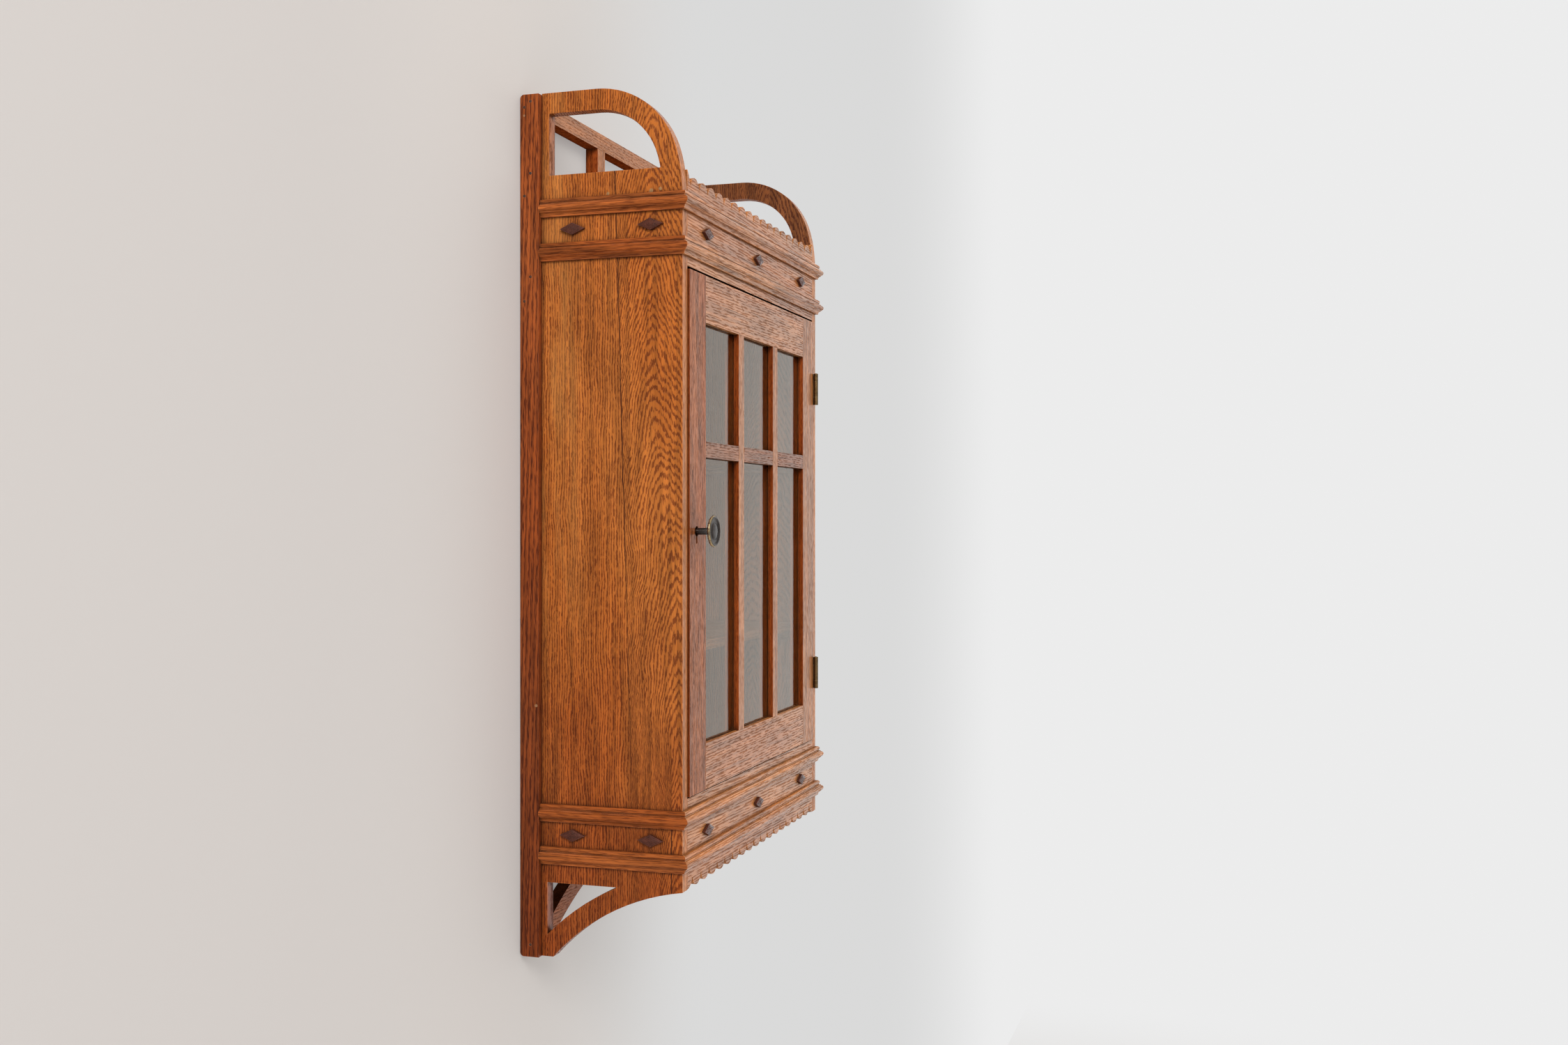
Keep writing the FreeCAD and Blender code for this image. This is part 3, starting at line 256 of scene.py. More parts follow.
TOWARDS = {
    "up": (0, 0, 0), "front": (QUARTER, 0, 0), "left": (0, -QUARTER, 0), "right": (0, QUARTER, 0)}


def placed(name, place, rotation):
    """Leave edit mode and put the new part in its place, which its mesh then holds."""
    bpy.ops.object.mode_set(mode="OBJECT")
    part = named(bpy.context.active_object, name)
    part.rotation_euler = rotation
    part.location = place
    bpy.ops.object.transform_apply(location=True, rotation=True, scale=True)
    return part


def turned(name, steps, place, towards, sides):
    """Round part drawn out of a circle; each step is a distance along its axis and a radius,
    both in millimetres."""
    steps = [(distance * MM, radius * MM) for distance, radius in steps]
    deselect()
    bpy.ops.mesh.primitive_circle_add(vertices=sides, radius=steps[0][1], fill_type="NGON",
                                      enter_editmode=True, location=(0, 0, 0))
    bpy.ops.transform.translate(value=(0, 0, steps[0][0]))
    for (low, before), (high, after) in zip(steps, steps[1:]):
        bpy.ops.mesh.extrude_region_move(TRANSFORM_OT_translate={"value": (0, 0, high - low)})
        share = after / before
        bpy.ops.transform.resize(value=(share, share, 1), center_override=(0, 0, high))
    bpy.ops.mesh.select_all(action="SELECT")
    bpy.ops.mesh.normals_make_consistent(inside=False)
    part = placed(name, place, TOWARDS[towards])
    bpy.ops.object.shade_smooth_by_angle(angle=SMOOTH_ANGLE)
    return part


def copied(piece, name, shift):
    """Copy of a piece, with a mesh of its own, moved by a shift."""
    pick(piece)
    bpy.ops.object.duplicate()
    bpy.ops.transform.translate(value=shift)
    bpy.ops.object.transform_apply(location=True, rotation=False, scale=False)
    return named(bpy.context.active_object, name)


def joined(name, parts):
    """One object made of several parts."""
    pick(*parts)
    bpy.ops.object.join()
    return named(bpy.context.active_object, name)


def solid_boxes(node):
    """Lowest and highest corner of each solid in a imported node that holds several."""
    merged_copy(node)
    bpy.ops.mesh.separate(type="LOOSE")
    bpy.ops.object.mode_set(mode="OBJECT")
    boxes = []
    for part in list(bpy.context.selected_objects):
        corners = [vertex.co for vertex in part.data.vertices]
        boxes.append((Vector([min(c[i] for c in corners) for i in range(3)]),
                      Vector([max(c[i] for c in corners) for i in range(3)])))
    bpy.ops.object.delete()
    return sorted(boxes, key=lambda pair: tuple(round(value, 4) for value in pair[0]))


def repeated(name, boxes, model):
    """Parts of one kind: the first is modelled in its box and copied to the other boxes."""
    sizes, play = [high - low for low, high in boxes], 0.1 * MM
    if any((size - sizes[0]).length > play for size in sizes):
        raise RuntimeError(f"the solids of {name} differ in size")
    first = model(*boxes[0])
    copies = [copied(first, f"{name}_{number}", low - boxes[0][0])
              for number, (low, _) in enumerate(boxes[1:], 1)]
    return [*copies, first]


# Node trees.
class Wire:
    """Output of a node; arithmetic with wires adds maths nodes to their tree."""

    def __init__(self, socket):
        self.socket = socket
        self.tree = socket.id_data

    def __add__(self, other):
        return calc("ADD", self, other)

    def __sub__(self, other):
        return calc("SUBTRACT", self, other)

    def __rsub__(self, other):
        return calc("SUBTRACT", other, self)

    def __mul__(self, other):
        return calc("MULTIPLY", self, other)

    def __truediv__(self, other):
        return calc("DIVIDE", self, other)

    def __rtruediv__(self, other):
        return calc("DIVIDE", other, self)


class Wires:
    """All outputs of a node, by number or by name."""

    def __init__(self, node):
        self.node = node

    def __getitem__(self, key):
        return Wire(self.node.outputs[key])


def add(kind, *values, tree=None, at=None, **others):
    """One node, in the tree of its first wire. Its inputs take the values in order, those of at
    by number and keywords with a capital by name. Other keywords are the node's settings."""
    inputs = {**dict(enumerate(values)), **(at or {})}
    for key in [key for key in others if key[0].isupper()]:
        inputs[key.replace("_", " ")] = others.pop(key)
    if tree is None:
        tree = next(value.tree for value in inputs.values() if isinstance(value, Wire))
    made = tree.nodes.new(kind)
    for setting, value in others.items():
        setattr(made, setting, value)
    for key, value in inputs.items():
        socket = made.inputs[key]
        if isinstance(value, Wire):
            tree.links.new(value.socket, socket)
        else:
            socket.default_value = (*value, 1.0) if socket.type == "RGBA" else value
    return Wires(made)


def calc(operation, *values, clamp=False):
    return add("ShaderNodeMath", *values, operation=operation, use_clamp=clamp)[0]


def ramp(value, low, high, start=0.0, end=1.0):
    """Smooth step from start to end while the value goes from low to high."""
    return add("ShaderNodeMapRange", value, low, high, start, end,
               interpolation_type="SMOOTHSTEP")[0]


def measure(operation, *vectors):
    """A number taken from vectors, such as the distance between them."""
    return add("ShaderNodeVectorMath", *vectors, operation=operation)["Value"]


def split(vector):
    """The three numbers of a vector."""
    parts = add("ShaderNodeSeparateXYZ", vector)
    return [parts[number] for number in range(3)]


def blend(factor, first, second, kind="MIX"):
    """Two colours mixed; inputs 6 and 7 of the node are its colours."""
    return add("ShaderNodeMix", factor, at={6: first, 7: second}, data_type="RGBA",
               blend_type=kind)[2]


def tinted(surface, tint):
    return blend(1.0, surface, tint, "MULTIPLY")


def noise(vector, scale=1.0, detail=2.0, distortion=0.0, stretch=None):
    """Soft noise, its coordinates first multiplied by stretch."""
    if stretch:
        vector = add("ShaderNodeVectorMath", vector, stretch, operation="MULTIPLY")[0]
    return add("ShaderNodeTexNoise", vector, Scale=scale, Detail=detail,
               Distortion=distortion)[0]


def mix_shaders(share, first, second):
    return add("ShaderNodeMixShader", share, first, second)[0]


SOCKETS = {1: "NodeSocketFloat", 3: "NodeSocketVector", 4: "NodeSocketColor"}


def new_group(name, **inputs):
    """Shader node group and its inputs: each default is a number, a place or an opaque colour."""
    group = bpy.data.node_groups.new(name, "ShaderNodeTree")
    for label, default in inputs.items():
        size = len(default) if isinstance(default, tuple) else 1
        socket = group.interface.new_socket(
            label.replace("_", " "), in_out="INPUT", socket_type=SOCKETS[size])
        socket.default_value = default
    return add("NodeGroupInput", tree=group)


def close_group(given, **outputs):
    """Give a group its outputs, of which Color is a colour and the others are numbers."""
    group = given.node.id_data
    for label in outputs:
        kind = SOCKETS[4 if label == "Color" else 1]
        group.interface.new_socket(label, in_out="OUTPUT", socket_type=kind)
    add("NodeGroupOutput", *outputs.values())
    return group


# Effects that several materials share.
def oak_group():
    """Oak figure: open pores in rows that follow the rings, long streaks and a slow tone."""
    given = new_group("Varnished oak", Vector=(0, 0, 0), Rings=0.0, Light=(0.5, 0.2, 0.05, 1),
                      Dark=(0.2, 0.05, 0.01, 1), Pore_Length=0.006, Pore_Count=1100.0,
                      Ring_Contrast=0.16, Contrast=0.75, Flecks=0.0, Mottle=1.0)
    vector, count = given["Vector"], given["Pore Count"]
    streaks = noise(vector, stretch=(230, 230, 7.5))
    tone = noise(vector, stretch=(17, 17, 2.8))
    band = calc("SINE", (streaks * 1.4 + given["Rings"]) * (2 * math.pi))
    pore_size = add("ShaderNodeCombineXYZ", count, count, 1.0 / given["Pore Length"])[0]
    pores = noise(vector, detail=1.5, stretch=pore_size)
    grain = ramp(pores + band * (given["Ring Contrast"] * 0.5), 0.47, 0.64)
    surface = blend(grain * given["Contrast"], given["Light"], given["Dark"])
    fibres = noise(vector, detail=1.0, stretch=(1700, 1700, 45))
    clouds = noise(vector, stretch=(75, 75, 14))
    uneven = ramp(streaks, 0.32, 0.68, -0.22, 0.18) + ramp(clouds, 0.35, 0.65, -0.10, 0.10)
    shade = (uneven * given["Mottle"] + 1.0) * ramp(fibres, 0.30, 0.70, 0.88, 1.12)
    surface = tinted(surface, add("ShaderNodeCombineColor", shade, shade, shade)[0])
    redder = tinted(surface, (0.86, 0.70, 0.52))
    surface = blend(ramp(tone, 0.38, 0.66, 0.0, 0.62), surface, redder)
    fleck = noise(vector, detail=1.0, distortion=1.6, stretch=(420, 420, 120))
    brighter = tinted(given["Light"], (1.22, 1.32, 1.5))
    surface = blend(ramp(fleck, 0.54, 0.66) * given["Flecks"], surface, brighter)
    return close_group(given, Color=surface, Grain=grain, Height=streaks * 0.5 - grain)


def wear_and_shade_group():
    """Rubbed arrises, partly a painted highlight, and painted shade in hollows, both broken up."""
    given = new_group("Wear and grime", Color=(0.5, 0.5, 0.5, 1), Vector=(0, 0, 0),
                      Edge_Color=(0.8, 0.6, 0.4, 1), Edge_Amount=0.5, Edge_Width=0.0012,
                      Grime_Color=(0.04, 0.015, 0.006, 1), Grime_Amount=0.6, Grime_Reach=0.006)
    patches = noise(given["Vector"], 90.0, 3.0)
    # Arrises lightened: rubbed wear, and partly a painted highlight.
    rounded = add("ShaderNodeBevel", Radius=given["Edge Width"], samples=4)[0]
    true = add("ShaderNodeNewGeometry", tree=rounded.tree)["Normal"]
    match = measure("DOT_PRODUCT", rounded, true)
    edge = ramp(match, 0.995, 0.90) * ramp(patches, 0.36, 0.62, 0.15, 1.0)
    edge = calc("MULTIPLY", edge, given["Edge Amount"], clamp=True)
    # Painted shade: the colour darkens where ambient occlusion finds the surface enclosed.
    openness = add("ShaderNodeAmbientOcclusion", Distance=given["Grime Reach"], samples=6)["AO"]
    grime = ramp(openness, 0.92, 0.35) * ramp(patches, 0.30, 0.70, 0.65, 1.0)
    grime = calc("MULTIPLY", grime, given["Grime Amount"], clamp=True)
    hollows_shaded = blend(grime, given["Color"], given["Grime Color"])
    return close_group(given, Color=blend(edge, hollows_shaded, given["Edge Color"]), Edge=edge,
                       Grime=grime)


def spot_group():
    """Mask of one small round mark at a place."""
    given = new_group("Small mark", Vector=(0, 0, 0), Centre=(0, 0, 0), Radius=0.002)
    share = measure("DISTANCE", given["Vector"], given["Centre"]) / given["Radius"]
    uneven = noise(given["Vector"], 700.0) * 0.8
    return close_group(given, Mask=ramp(share + uneven, 1.55, 1.05))


def line_group():
    """Mask of a thin line, from its signed distance, between two levels."""
    given = new_group("Thin line", Distance=0.0, Width=0.0005, Level=0.0, Low=-1.0, High=1.0)
    near = ramp(calc("ABSOLUTE", given["Distance"]) / given["Width"], 1.0, 0.35)
    above = calc("GREATER_THAN", given["Level"], given["Low"])
    below = calc("LESS_THAN", given["Level"], given["High"])
    return close_group(given, Mask=near * (above * below))


def tarnish_group():
    """Mottled metal: a clean colour, a tarnished colour and a roughness that follows it."""
    given = new_group("Tarnish", Vector=(0, 0, 0), Metal=(0.5, 0.5, 0.5, 1),
                      Tarnish=(0.1, 0.1, 0.1, 1), Amount=0.5, Smooth=0.3, Rough=0.6)
    mottle = noise(given["Vector"], 260.0, 4.0)
    speckle = noise(given["Vector"], 1400.0)
    mask = ramp(mottle + speckle * 0.35, 0.52, 0.86)
    mask = calc("MULTIPLY", mask, given["Amount"], clamp=True)
    rough = add("ShaderNodeMapRange", mask, 0.0, 1.0, given["Smooth"], given["Rough"])[0]
    return close_group(given, Color=blend(mask, given["Metal"], given["Tarnish"]),
                       Roughness=rough, Height=speckle)


GROUPS = {}


def shared(maker, **inputs):
    """A shared group, made once, with a material's own values."""
    if maker not in GROUPS:
        GROUPS[maker] = maker()
    return add("ShaderNodeGroup", node_tree=GROUPS[maker], **inputs)


# Woods.
def new_material(name):
    """Empty material and its Object coordinates."""
    material = bpy.data.materials.new(name)
    material.use_nodes = True
    material.node_tree.nodes.clear()
    return material, add("ShaderNodeTexCoord", tree=material.node_tree)["Object"]


def close_material(surface, bump_height, bump_depth, **inputs):
    """Principled surface with a bump, joined to the output."""
    bump = add("ShaderNodeBump", Height=bump_height, Strength=1.0, Distance=bump_depth)[0]
    shader = add("ShaderNodeBsdfPrincipled", Base_Color=surface, Normal=bump, **inputs)[0]
    add("ShaderNodeOutputMaterial", shader)


ALONG = {"X": (2, 1, 0), "Y": (2, 0, 1), "Z": (0, 1, 2)}


def grain_vector(place, axis, offset):
    """Coordinates with the grain along the third axis, moved to another part of the log."""
    moved = split(add("ShaderNodeMapping", Vector=place, Location=offset)[0])
    return add("ShaderNodeCombineXYZ", *(moved[source] for source in ALONG[axis]))[0]


def plain_rings(vector, spacing, slant):
    """Ring count of a straight-grained board: across its face, and a little into its depth."""
    x, y, z = split(vector)
    return (x + y * 0.6 + z * slant) / spacing


def forward_face(tree):
    """Mask of the faces that look forward, where the cabinet was polished."""
    facing = add("ShaderNodeTexCoord", tree=tree)["Normal"]
    return ramp(split(facing)[1], -0.25, -0.85)


def wood(name, light, dark, axis="Z", offset=(0, 0, 0), spacing=0.0032, slant=0.01,
         pore_length=0.007, pore_count=1150.0, gloss=0.12, polish=0.0, ior=1.5,
         ring_contrast=0.16, contrast=0.75, flecks=0.0, mottle=1.0, roughness=0.40, edge=0.45,
         edge_tint=1.5, grime=0.75, grime_reach=0.005, rings=None, change=None):
    """Material of one kind of board; rings and change may add a figure or marks of their own."""
    material, place = new_material(name)
    vector = grain_vector(place, axis, offset)
    count = rings(place) if rings else plain_rings(vector, spacing, slant)
    oak = shared(oak_group, Vector=vector, Rings=count, Light=light, Dark=dark,
                 Pore_Length=pore_length, Pore_Count=pore_count, Ring_Contrast=ring_contrast,
                 Contrast=contrast, Flecks=flecks, Mottle=mottle)
    surface = change(place, oak["Color"]) if change else oak["Color"]
    # Lighter edge colour, rubbed wear and partly a painted highlight; the group below also paints
    # shade into hollows.
    rubbed = [min(1.0, value * edge_tint + 0.04) for value in light]
    wear = shared(wear_and_shade_group, Color=surface, Vector=place, Edge_Color=rubbed, Edge_Amount=edge,
                  Grime_Amount=grime, Grime_Reach=grime_reach)
    patches = ramp(noise(place, 23.0, 3.0), 0.3, 0.7, roughness - 0.05, roughness + 0.07)
    pore_rough, hollow_shade_rough, pore_gap, pore_depth = 0.28, 0.2, 0.75, 0.14 * MM
    rough = calc("ADD", patches + oak["Grain"] * pore_rough, wear["Grime"] * hollow_shade_rough,
                 clamp=True)
    varnish = forward_face(place.tree) * polish * (1.0 - oak["Grain"] * pore_gap)
    close_material(wear["Color"], oak["Height"], pore_depth, Roughness=rough, IOR=ior,
                   Specular_IOR_Level=gloss, Coat_Roughness=0.24, Coat_Weight=varnish)
    return material


def side_place(place):
    """Distance from the cabinet's middle, depth in front of the wall and level over the feet."""
    x, y, z = split(place)
    return calc("ABSOLUTE", x), y * -1.0, z - FEET


def seam_distance(depth, level, seam):
    """Distance in front of the glued seam, which has a depth at its top and leans below it."""
    top_level, top_depth, lean = 0.770, *seam
    return depth - ((top_level - level) * lean + top_depth)


def side_rings(centre, low_centre, seam):
    """Ring count of a side made of two boards: straight grain behind, nested arches in front."""
    front_spacing, rear_spacing, front_inward, rear_inward = 0.0112, 0.0027, 620.0, 90.0
    warp_height, drift_height, blunt, droop = 0.016, 0.070, 0.00003, 42.0

    def rings(place):
        aside, depth, level = side_place(place)
        warp = (noise(place, detail=3.0, stretch=(26, 26, 16)) - 0.5) * warp_height
        drift = (noise(place, stretch=(7, 7, 9)) - 0.5) * drift_height
        off = depth - ramp(level, 0.60, 0.34, centre, low_centre) + warp
        steep = ramp(level, 0.66, 0.42, 2.5, 1.5) + ramp(level, 0.30, 0.16, 0.0, 4.0)
        behind = calc("MINIMUM", off, 0.0)
        arch = level + calc("SQRT", off * off + blunt) * steep + behind * behind * droop
        buried = SIDE_FACE - aside
        front_count = (arch + drift) / front_spacing + buried * front_inward
        rear_count = (depth + warp * 0.6) / rear_spacing + buried * rear_inward
        forward = calc("GREATER_THAN", seam_distance(depth, level, seam), 0.0)
        return add("ShaderNodeMix", forward, at={2: rear_count, 3: front_count},
                   data_type="FLOAT")[0]
    return rings


def spotted(place, surface, marks, tint, strength):
    """Small round marks on a surface, each given as its radius and its centre."""
    for radius, centre in marks:
        mask = shared(spot_group, Vector=place, Centre=centre, Radius=radius)["Mask"]
        surface = blend(mask * strength, surface, tint)
    return surface


def side_marks(seam, fillings):
    """Painted shade towards the feet, tone, seam, crack and filled nail holes of a side board, and
    its plainer inner face.
    """
    lower_shade_tint, inner_tint, tan_tint = (0.66, 0.50, 0.50), (0.50, 0.56, 1.0), (0.60, 0.27, 0.075)
    crack_tint, filling_tint = (0.045, 0.012, 0.005), (0.40, 0.26, 0.12)
    crack_depth, margin = 0.1575, 0.0004

    def change(place, surface):
        aside, depth, level = side_place(place)
        # Painted shade: the board is darkened towards the feet, unevenly.
        fall = level + noise(place, 11.0, 3.0) * 0.30
        surface = blend(ramp(fall, 0.52, 0.16), surface, tinted(surface, lower_shade_tint))
        clouds = ramp(noise(place, stretch=(60, 60, 9)), 0.42, 0.66)
        tan = ramp(depth, 0.085, 0.030) * ramp(level, 0.22, 0.50) * clouds
        surface = blend(tan * 0.26, surface, tan_tint)
        wobble = (noise(place, 30.0) - 0.5) * 0.003
        line = shared(line_group, Distance=seam_distance(depth, level, seam) + wobble,
                      Width=0.0008, Level=level, Low=0.0, High=0.80)["Mask"]
        surface = blend(line * ramp(level, 0.16, 0.55, 0.35, 0.95), surface, crack_tint)
        crack = shared(line_group, Distance=depth - crack_depth + wobble * 0.25, Width=0.0007,
                       Level=level, Low=0.060, High=0.150)["Mask"]
        surface = blend(crack, surface, crack_tint)
        surface = spotted(place, surface, fillings, filling_tint, 0.70)
        inward = ramp(aside, INNER_FACE + margin, INNER_FACE - margin)
        return blend(inward, surface, tinted(surface, inner_tint))
    return change


def post_marks(place, surface):
    """The posts are painted darker towards the feet, as shade, and have two worn specks."""
    level = split(place)[2] - FEET
    # Painted shade: darker towards the feet.
    surface = blend(ramp(level, 0.62, 0.06), surface, tinted(surface, (0.62, 0.55, 0.55)))
    specks = ((0.0016, (-POST_FACE, -0.0173, FEET + 0.2477)),
              (0.0012, (-POST_FACE, -0.0043, FEET + 0.8293)))
    return spotted(place, surface, specks, (0.30, 0.16, 0.08), 1.0)


# For each side: its seam's depth and lean, the depth of the figure's middle above and below, and
# the radius, place and level of its filled nail holes.
SIDES = {
    "left": ((0.0984, 0.0300), (0.137, 0.165), (
        (0.0018, -0.0911, 0.7482), (0.0023, -0.1365, 0.7480), (0.0018, -0.1459, 0.7494))),
    "right": ((0.071, -0.0150), (0.112, 0.090), ((0.0020, -0.064, 0.7490),))}


def make_woods():
    """All wood materials, named after the pieces that wear them."""
    tones = bpy.context.scene.wall_cabinet_woods

    def board(key, name, tone, **differences):
        MATERIALS[key] = wood(name, getattr(tones, f"{tone}_light"),
                              getattr(tones, f"{tone}_dark"), **differences)

    for side, (seam, figure, fillings) in SIDES.items():
        right = side == "right"
        face = SIDE_FACE if right else -SIDE_FACE
        marks = [(radius, (face, y, FEET + level)) for radius, y, level in fillings]
        board(f"side_{side}", f"Side oak {side}", "side", offset=(0, 0, 0.37 * right),
              ring_contrast=0.36, contrast=0.86, pore_length=0.0050, pore_count=1000.0,
              roughness=0.32, flecks=0.22, polish=0.6, grime_reach=0.007,
              rings=side_rings(*figure, seam), change=side_marks(seam, marks))
    board("post", "Post oak", "post", spacing=0.0027, slant=0.02, pore_length=0.012,
          ring_contrast=0.24, contrast=0.90, roughness=0.42, polish=0.5, grime_reach=0.006,
          change=post_marks)
    board("gallery_level", "Gallery oak, level", "front", axis="X", offset=(0.2, 0, 0),
          polish=0.7)
    board("gallery_upright", "Gallery oak, upright", "front", offset=(0, 0, 0.3), polish=0.7)
    board("arched_rail", "Arched rail oak", "stile", axis="X", offset=(0.15, 0, 0.1),
          polish=0.3, grime=0.9)
    board("frieze", "Frieze oak", "front", axis="X", offset=(0.1, 0.02, 0), spacing=0.0030,
          slant=0.025, pore_length=0.016, pore_count=850.0, ring_contrast=0.26, contrast=0.85,
          mottle=1.1, gloss=0.2, polish=0.95, edge=0.6, grime=0.6)
    board("rail", "Door rail oak", "door", axis="X", offset=(-0.1, 0, 0.05), spacing=0.0028,
          slant=-0.012, pore_length=0.012, pore_count=850.0, ring_contrast=0.22, contrast=0.85,
          gloss=0.2, polish=0.95)
    board("bar", "Glazing bar oak", "door", offset=(0.06, 0, 0.1), spacing=0.0025,
          pore_length=0.006, contrast=0.9, mottle=1.2, gloss=0.2, polish=0.95)
    board("cross_bar", "Cross bar oak", "cross", axis="X", offset=(0.03, 0.01, 0.2),
          spacing=0.0025, pore_length=0.012, mottle=1.2, polish=0.85)
    board("stile_left", "Lock stile oak", "stile", spacing=0.0026, slant=0.012,
          pore_length=0.008, ring_contrast=0.24, contrast=1.0, flecks=0.5, mottle=1.3,
          polish=0.62)
    board("stile_right", "Hinge stile oak", "door", offset=(0.09, 0, 0.2), spacing=0.0030,
          pore_length=0.008, ring_contrast=0.24, contrast=0.9, mottle=1.2, gloss=0.2,
          polish=0.95)
    board("moulding_front", "Moulding oak, front", "front", axis="X", spacing=0.003,
          pore_length=0.016, mottle=1.3, polish=1.0, edge=0.9, edge_tint=1.6, grime=1.0,
          grime_reach=0.0035)
    board("moulding_return", "Moulding oak, returns", "return", axis="Y", spacing=0.003,
          pore_length=0.012, mottle=1.4, polish=0.6, edge=0.75, edge_tint=1.35, grime=1.0,
          grime_reach=0.0045)
    board("reveal", "Reveal oak", "reveal", offset=(0, 0.1, 0.4), pore_length=0.006, gloss=0.0,
          grime=0.9, grime_reach=0.008)
    # Painted highlight: a lighter, polished tone on the side boards' front edges.
    board("side_edge", "Side oak, front edge", "edge", offset=(0.4, 0, 0), pore_length=0.006,
          polish=0.6, edge=0.6)
    board("stud", "Stud wood", "stud", axis="X", spacing=0.002, pore_length=0.004, gloss=0.25,
          roughness=0.34, polish=0.7, edge=0.6, edge_tint=2.2, grime=0.9, grime_reach=0.003)
    inside = {"roughness": 0.62, "edge": 0.2}
    board("inner_upright", "Inside wood, upright", "inner", offset=(0.3, 0, 0), spacing=0.005,
          **inside)
    board("inner_level", "Inside wood, level", "inner", axis="X", offset=(0, 0.2, 0),
          spacing=0.005, **inside)
    board("inner_deep", "Inside wood, cleats", "inner", axis="Y", spacing=0.004, **inside)
    board("bead", "Bead wood", "bead", offset=(0.1, 0, 0.6), gloss=0.0, roughness=0.6, edge=0.2)
    # Painted shade: a near-black, dull finish for faces in the door's gaps and on the arched rail's
    # top.
    board("raw_edge", "Unvarnished edge", "raw", gloss=0.0, ior=1.0, roughness=0.90, edge=0.0)


# Metals and glass.
def key_axis():
    return next(joint["pos_m"] for joint in frame["joints"] if joint["name"] == "key_turn")


def rubbed_bow(place, surface):
    """The outside of the key's bow is rubbed bright in patches."""
    inner_radius, outer_radius, bow_front = 0.0139, 0.0150, -0.184
    key_x, _, key_z = key_axis()
    x, y, z = split(place)
    radius = measure("LENGTH", add("ShaderNodeCombineXYZ", x - key_x, z - key_z)[0])
    patches = ramp(noise(place, 320.0, 3.0), 0.34, 0.62, 0.2, 0.9)
    outside = ramp(radius, inner_radius, outer_radius) * patches
    outside = outside * calc("LESS_THAN", y, bow_front)
    return blend(outside, surface, bpy.context.scene.wall_cabinet_metals.bronze_worn)


def metal(name, clean, tarnish, worn, amount, smooth, rough, edge, edge_width, metallic=1.0,
          change=None):
    """Material of one metal, mottled, rubbed bright along its edges and with painted shade in its
    hollows.
    """
    material, place = new_material(name)
    mottled = shared(tarnish_group, Vector=place, Metal=clean, Tarnish=tarnish, Amount=amount,
                     Smooth=smooth, Rough=rough)
    surface = change(place, mottled["Color"]) if change else mottled["Color"]
    # Painted shade: near-black colour where the metal is enclosed, such as the key's dish.
    wear = shared(wear_and_shade_group, Color=surface, Vector=place, Edge_Color=worn, Edge_Amount=edge,
                  Edge_Width=edge_width, Grime_Color=(0.012, 0.009, 0.007), Grime_Amount=0.7,
                  Grime_Reach=0.002)
    edge_smooth, pit_depth = 0.15, 0.03 * MM
    smoother = calc("SUBTRACT", mottled["Roughness"], wear["Edge"] * edge_smooth, clamp=True)
    close_material(wear["Color"], mottled["Height"], pit_depth, Roughness=smoother,
                   Metallic=metallic)
    return material


def make_metals():
    tone = bpy.context.scene.wall_cabinet_metals
    MATERIALS.update(
        brass=metal("Hinge brass", tone.brass, (0.07, 0.045, 0.02), tone.brass_worn,
                    amount=0.75, smooth=0.34, rough=0.62, edge=0.9, edge_width=0.0006),
        bronze=metal("Key bronze", tone.bronze, (0.026, 0.021, 0.018), tone.bronze_worn,
                     amount=0.6, smooth=0.16, rough=0.40, edge=0.7, edge_width=0.0007,
                     change=rubbed_bow),
        iron=metal("Lock iron", tone.iron, tone.rust, (0.2, 0.19, 0.18),
                   amount=0.5, smooth=0.42, rough=0.75, edge=0.5, edge_width=0.0005),
        nail=metal("Nail iron", tone.iron, tone.rust, (0.16, 0.14, 0.12),
                   amount=0.9, smooth=0.5, rough=0.85, edge=0.3, edge_width=0.0003,
                   metallic=0.8),
        screw=metal("Screw steel", tone.steel, tone.rust, (0.6, 0.58, 0.54),
                    amount=0.6, smooth=0.32, rough=0.6, edge=0.7, edge_width=0.0003),
        bolt=metal("Bolt steel", tone.steel, tone.rust, (0.62, 0.6, 0.56),
                   amount=0.35, smooth=0.25, rough=0.5, edge=0.8, edge_width=0.0006))


def make_glass():
    """Old window glass: clear, slightly wavy in shape, with a faint film on it."""
    MATERIALS["glass"], place = new_material("Old glass")
    film = noise(place, detail=4.0, distortion=0.6, stretch=(9, 9, 4))
    tint = bpy.context.scene.wall_cabinet_metals.glass
    pane = add("ShaderNodeBsdfPrincipled", Base_Color=tint,
               Roughness=ramp(film, 0.42, 0.72, 0.0, 0.02), IOR=1.5,
               Specular_Tint=(1.0, 0.45, 0.05), Transmission_Weight=1.0)[0]
    clear = add("ShaderNodeBsdfTransparent", tint, tree=place.tree)[0]
    shadow = add("ShaderNodeLightPath", tree=place.tree)["Is Shadow Ray"]
    add("ShaderNodeOutputMaterial", mix_shaders(shadow, pane, clear))


def ready(context):
    """Make every material once, whichever piece asks first, and return the small sizes."""
    if not MATERIALS:
        make_woods()
        make_metals()
        make_glass()
    return context.scene.wall_cabinet_shape


# Pieces.
class WALLCABINET_OT_carcase(bpy.types.Operator):
    """Finish the two side boards and the boards inside the case"""
    bl_idname = "wall_cabinet.carcase"
    bl_label = "Carcase boards"
    bl_options = UNDO

    # The side boards' forward faces get the lighter front-edge finish, a painted highlight.
    SIDE_BOARDS = (("side_left", "side_left", ("side_edge", FORWARD)),
                   ("side_right", "side_right", ("side_edge", FORWARD)))
    INSIDE = alike("inner_level", "case_top case_bottom hanging_rail shelf_upper shelf_lower")
    BACK = alike("inner_upright", "back_board_1 back_board_2 back_board_3 door_stop")

    def execute(self, context):
        shape = ready(context)
        finish_boards(self.SIDE_BOARDS, "carcase", "side_wood", shape.arris, segments=3,
                      reach=0.80, before=-0.15)
        finish_boards([*self.INSIDE, *self.BACK, ("shelf_cleats", "inner_deep")], "carcase",
                      "inner_wood", shape.joint_arris)
        return {"FINISHED"}


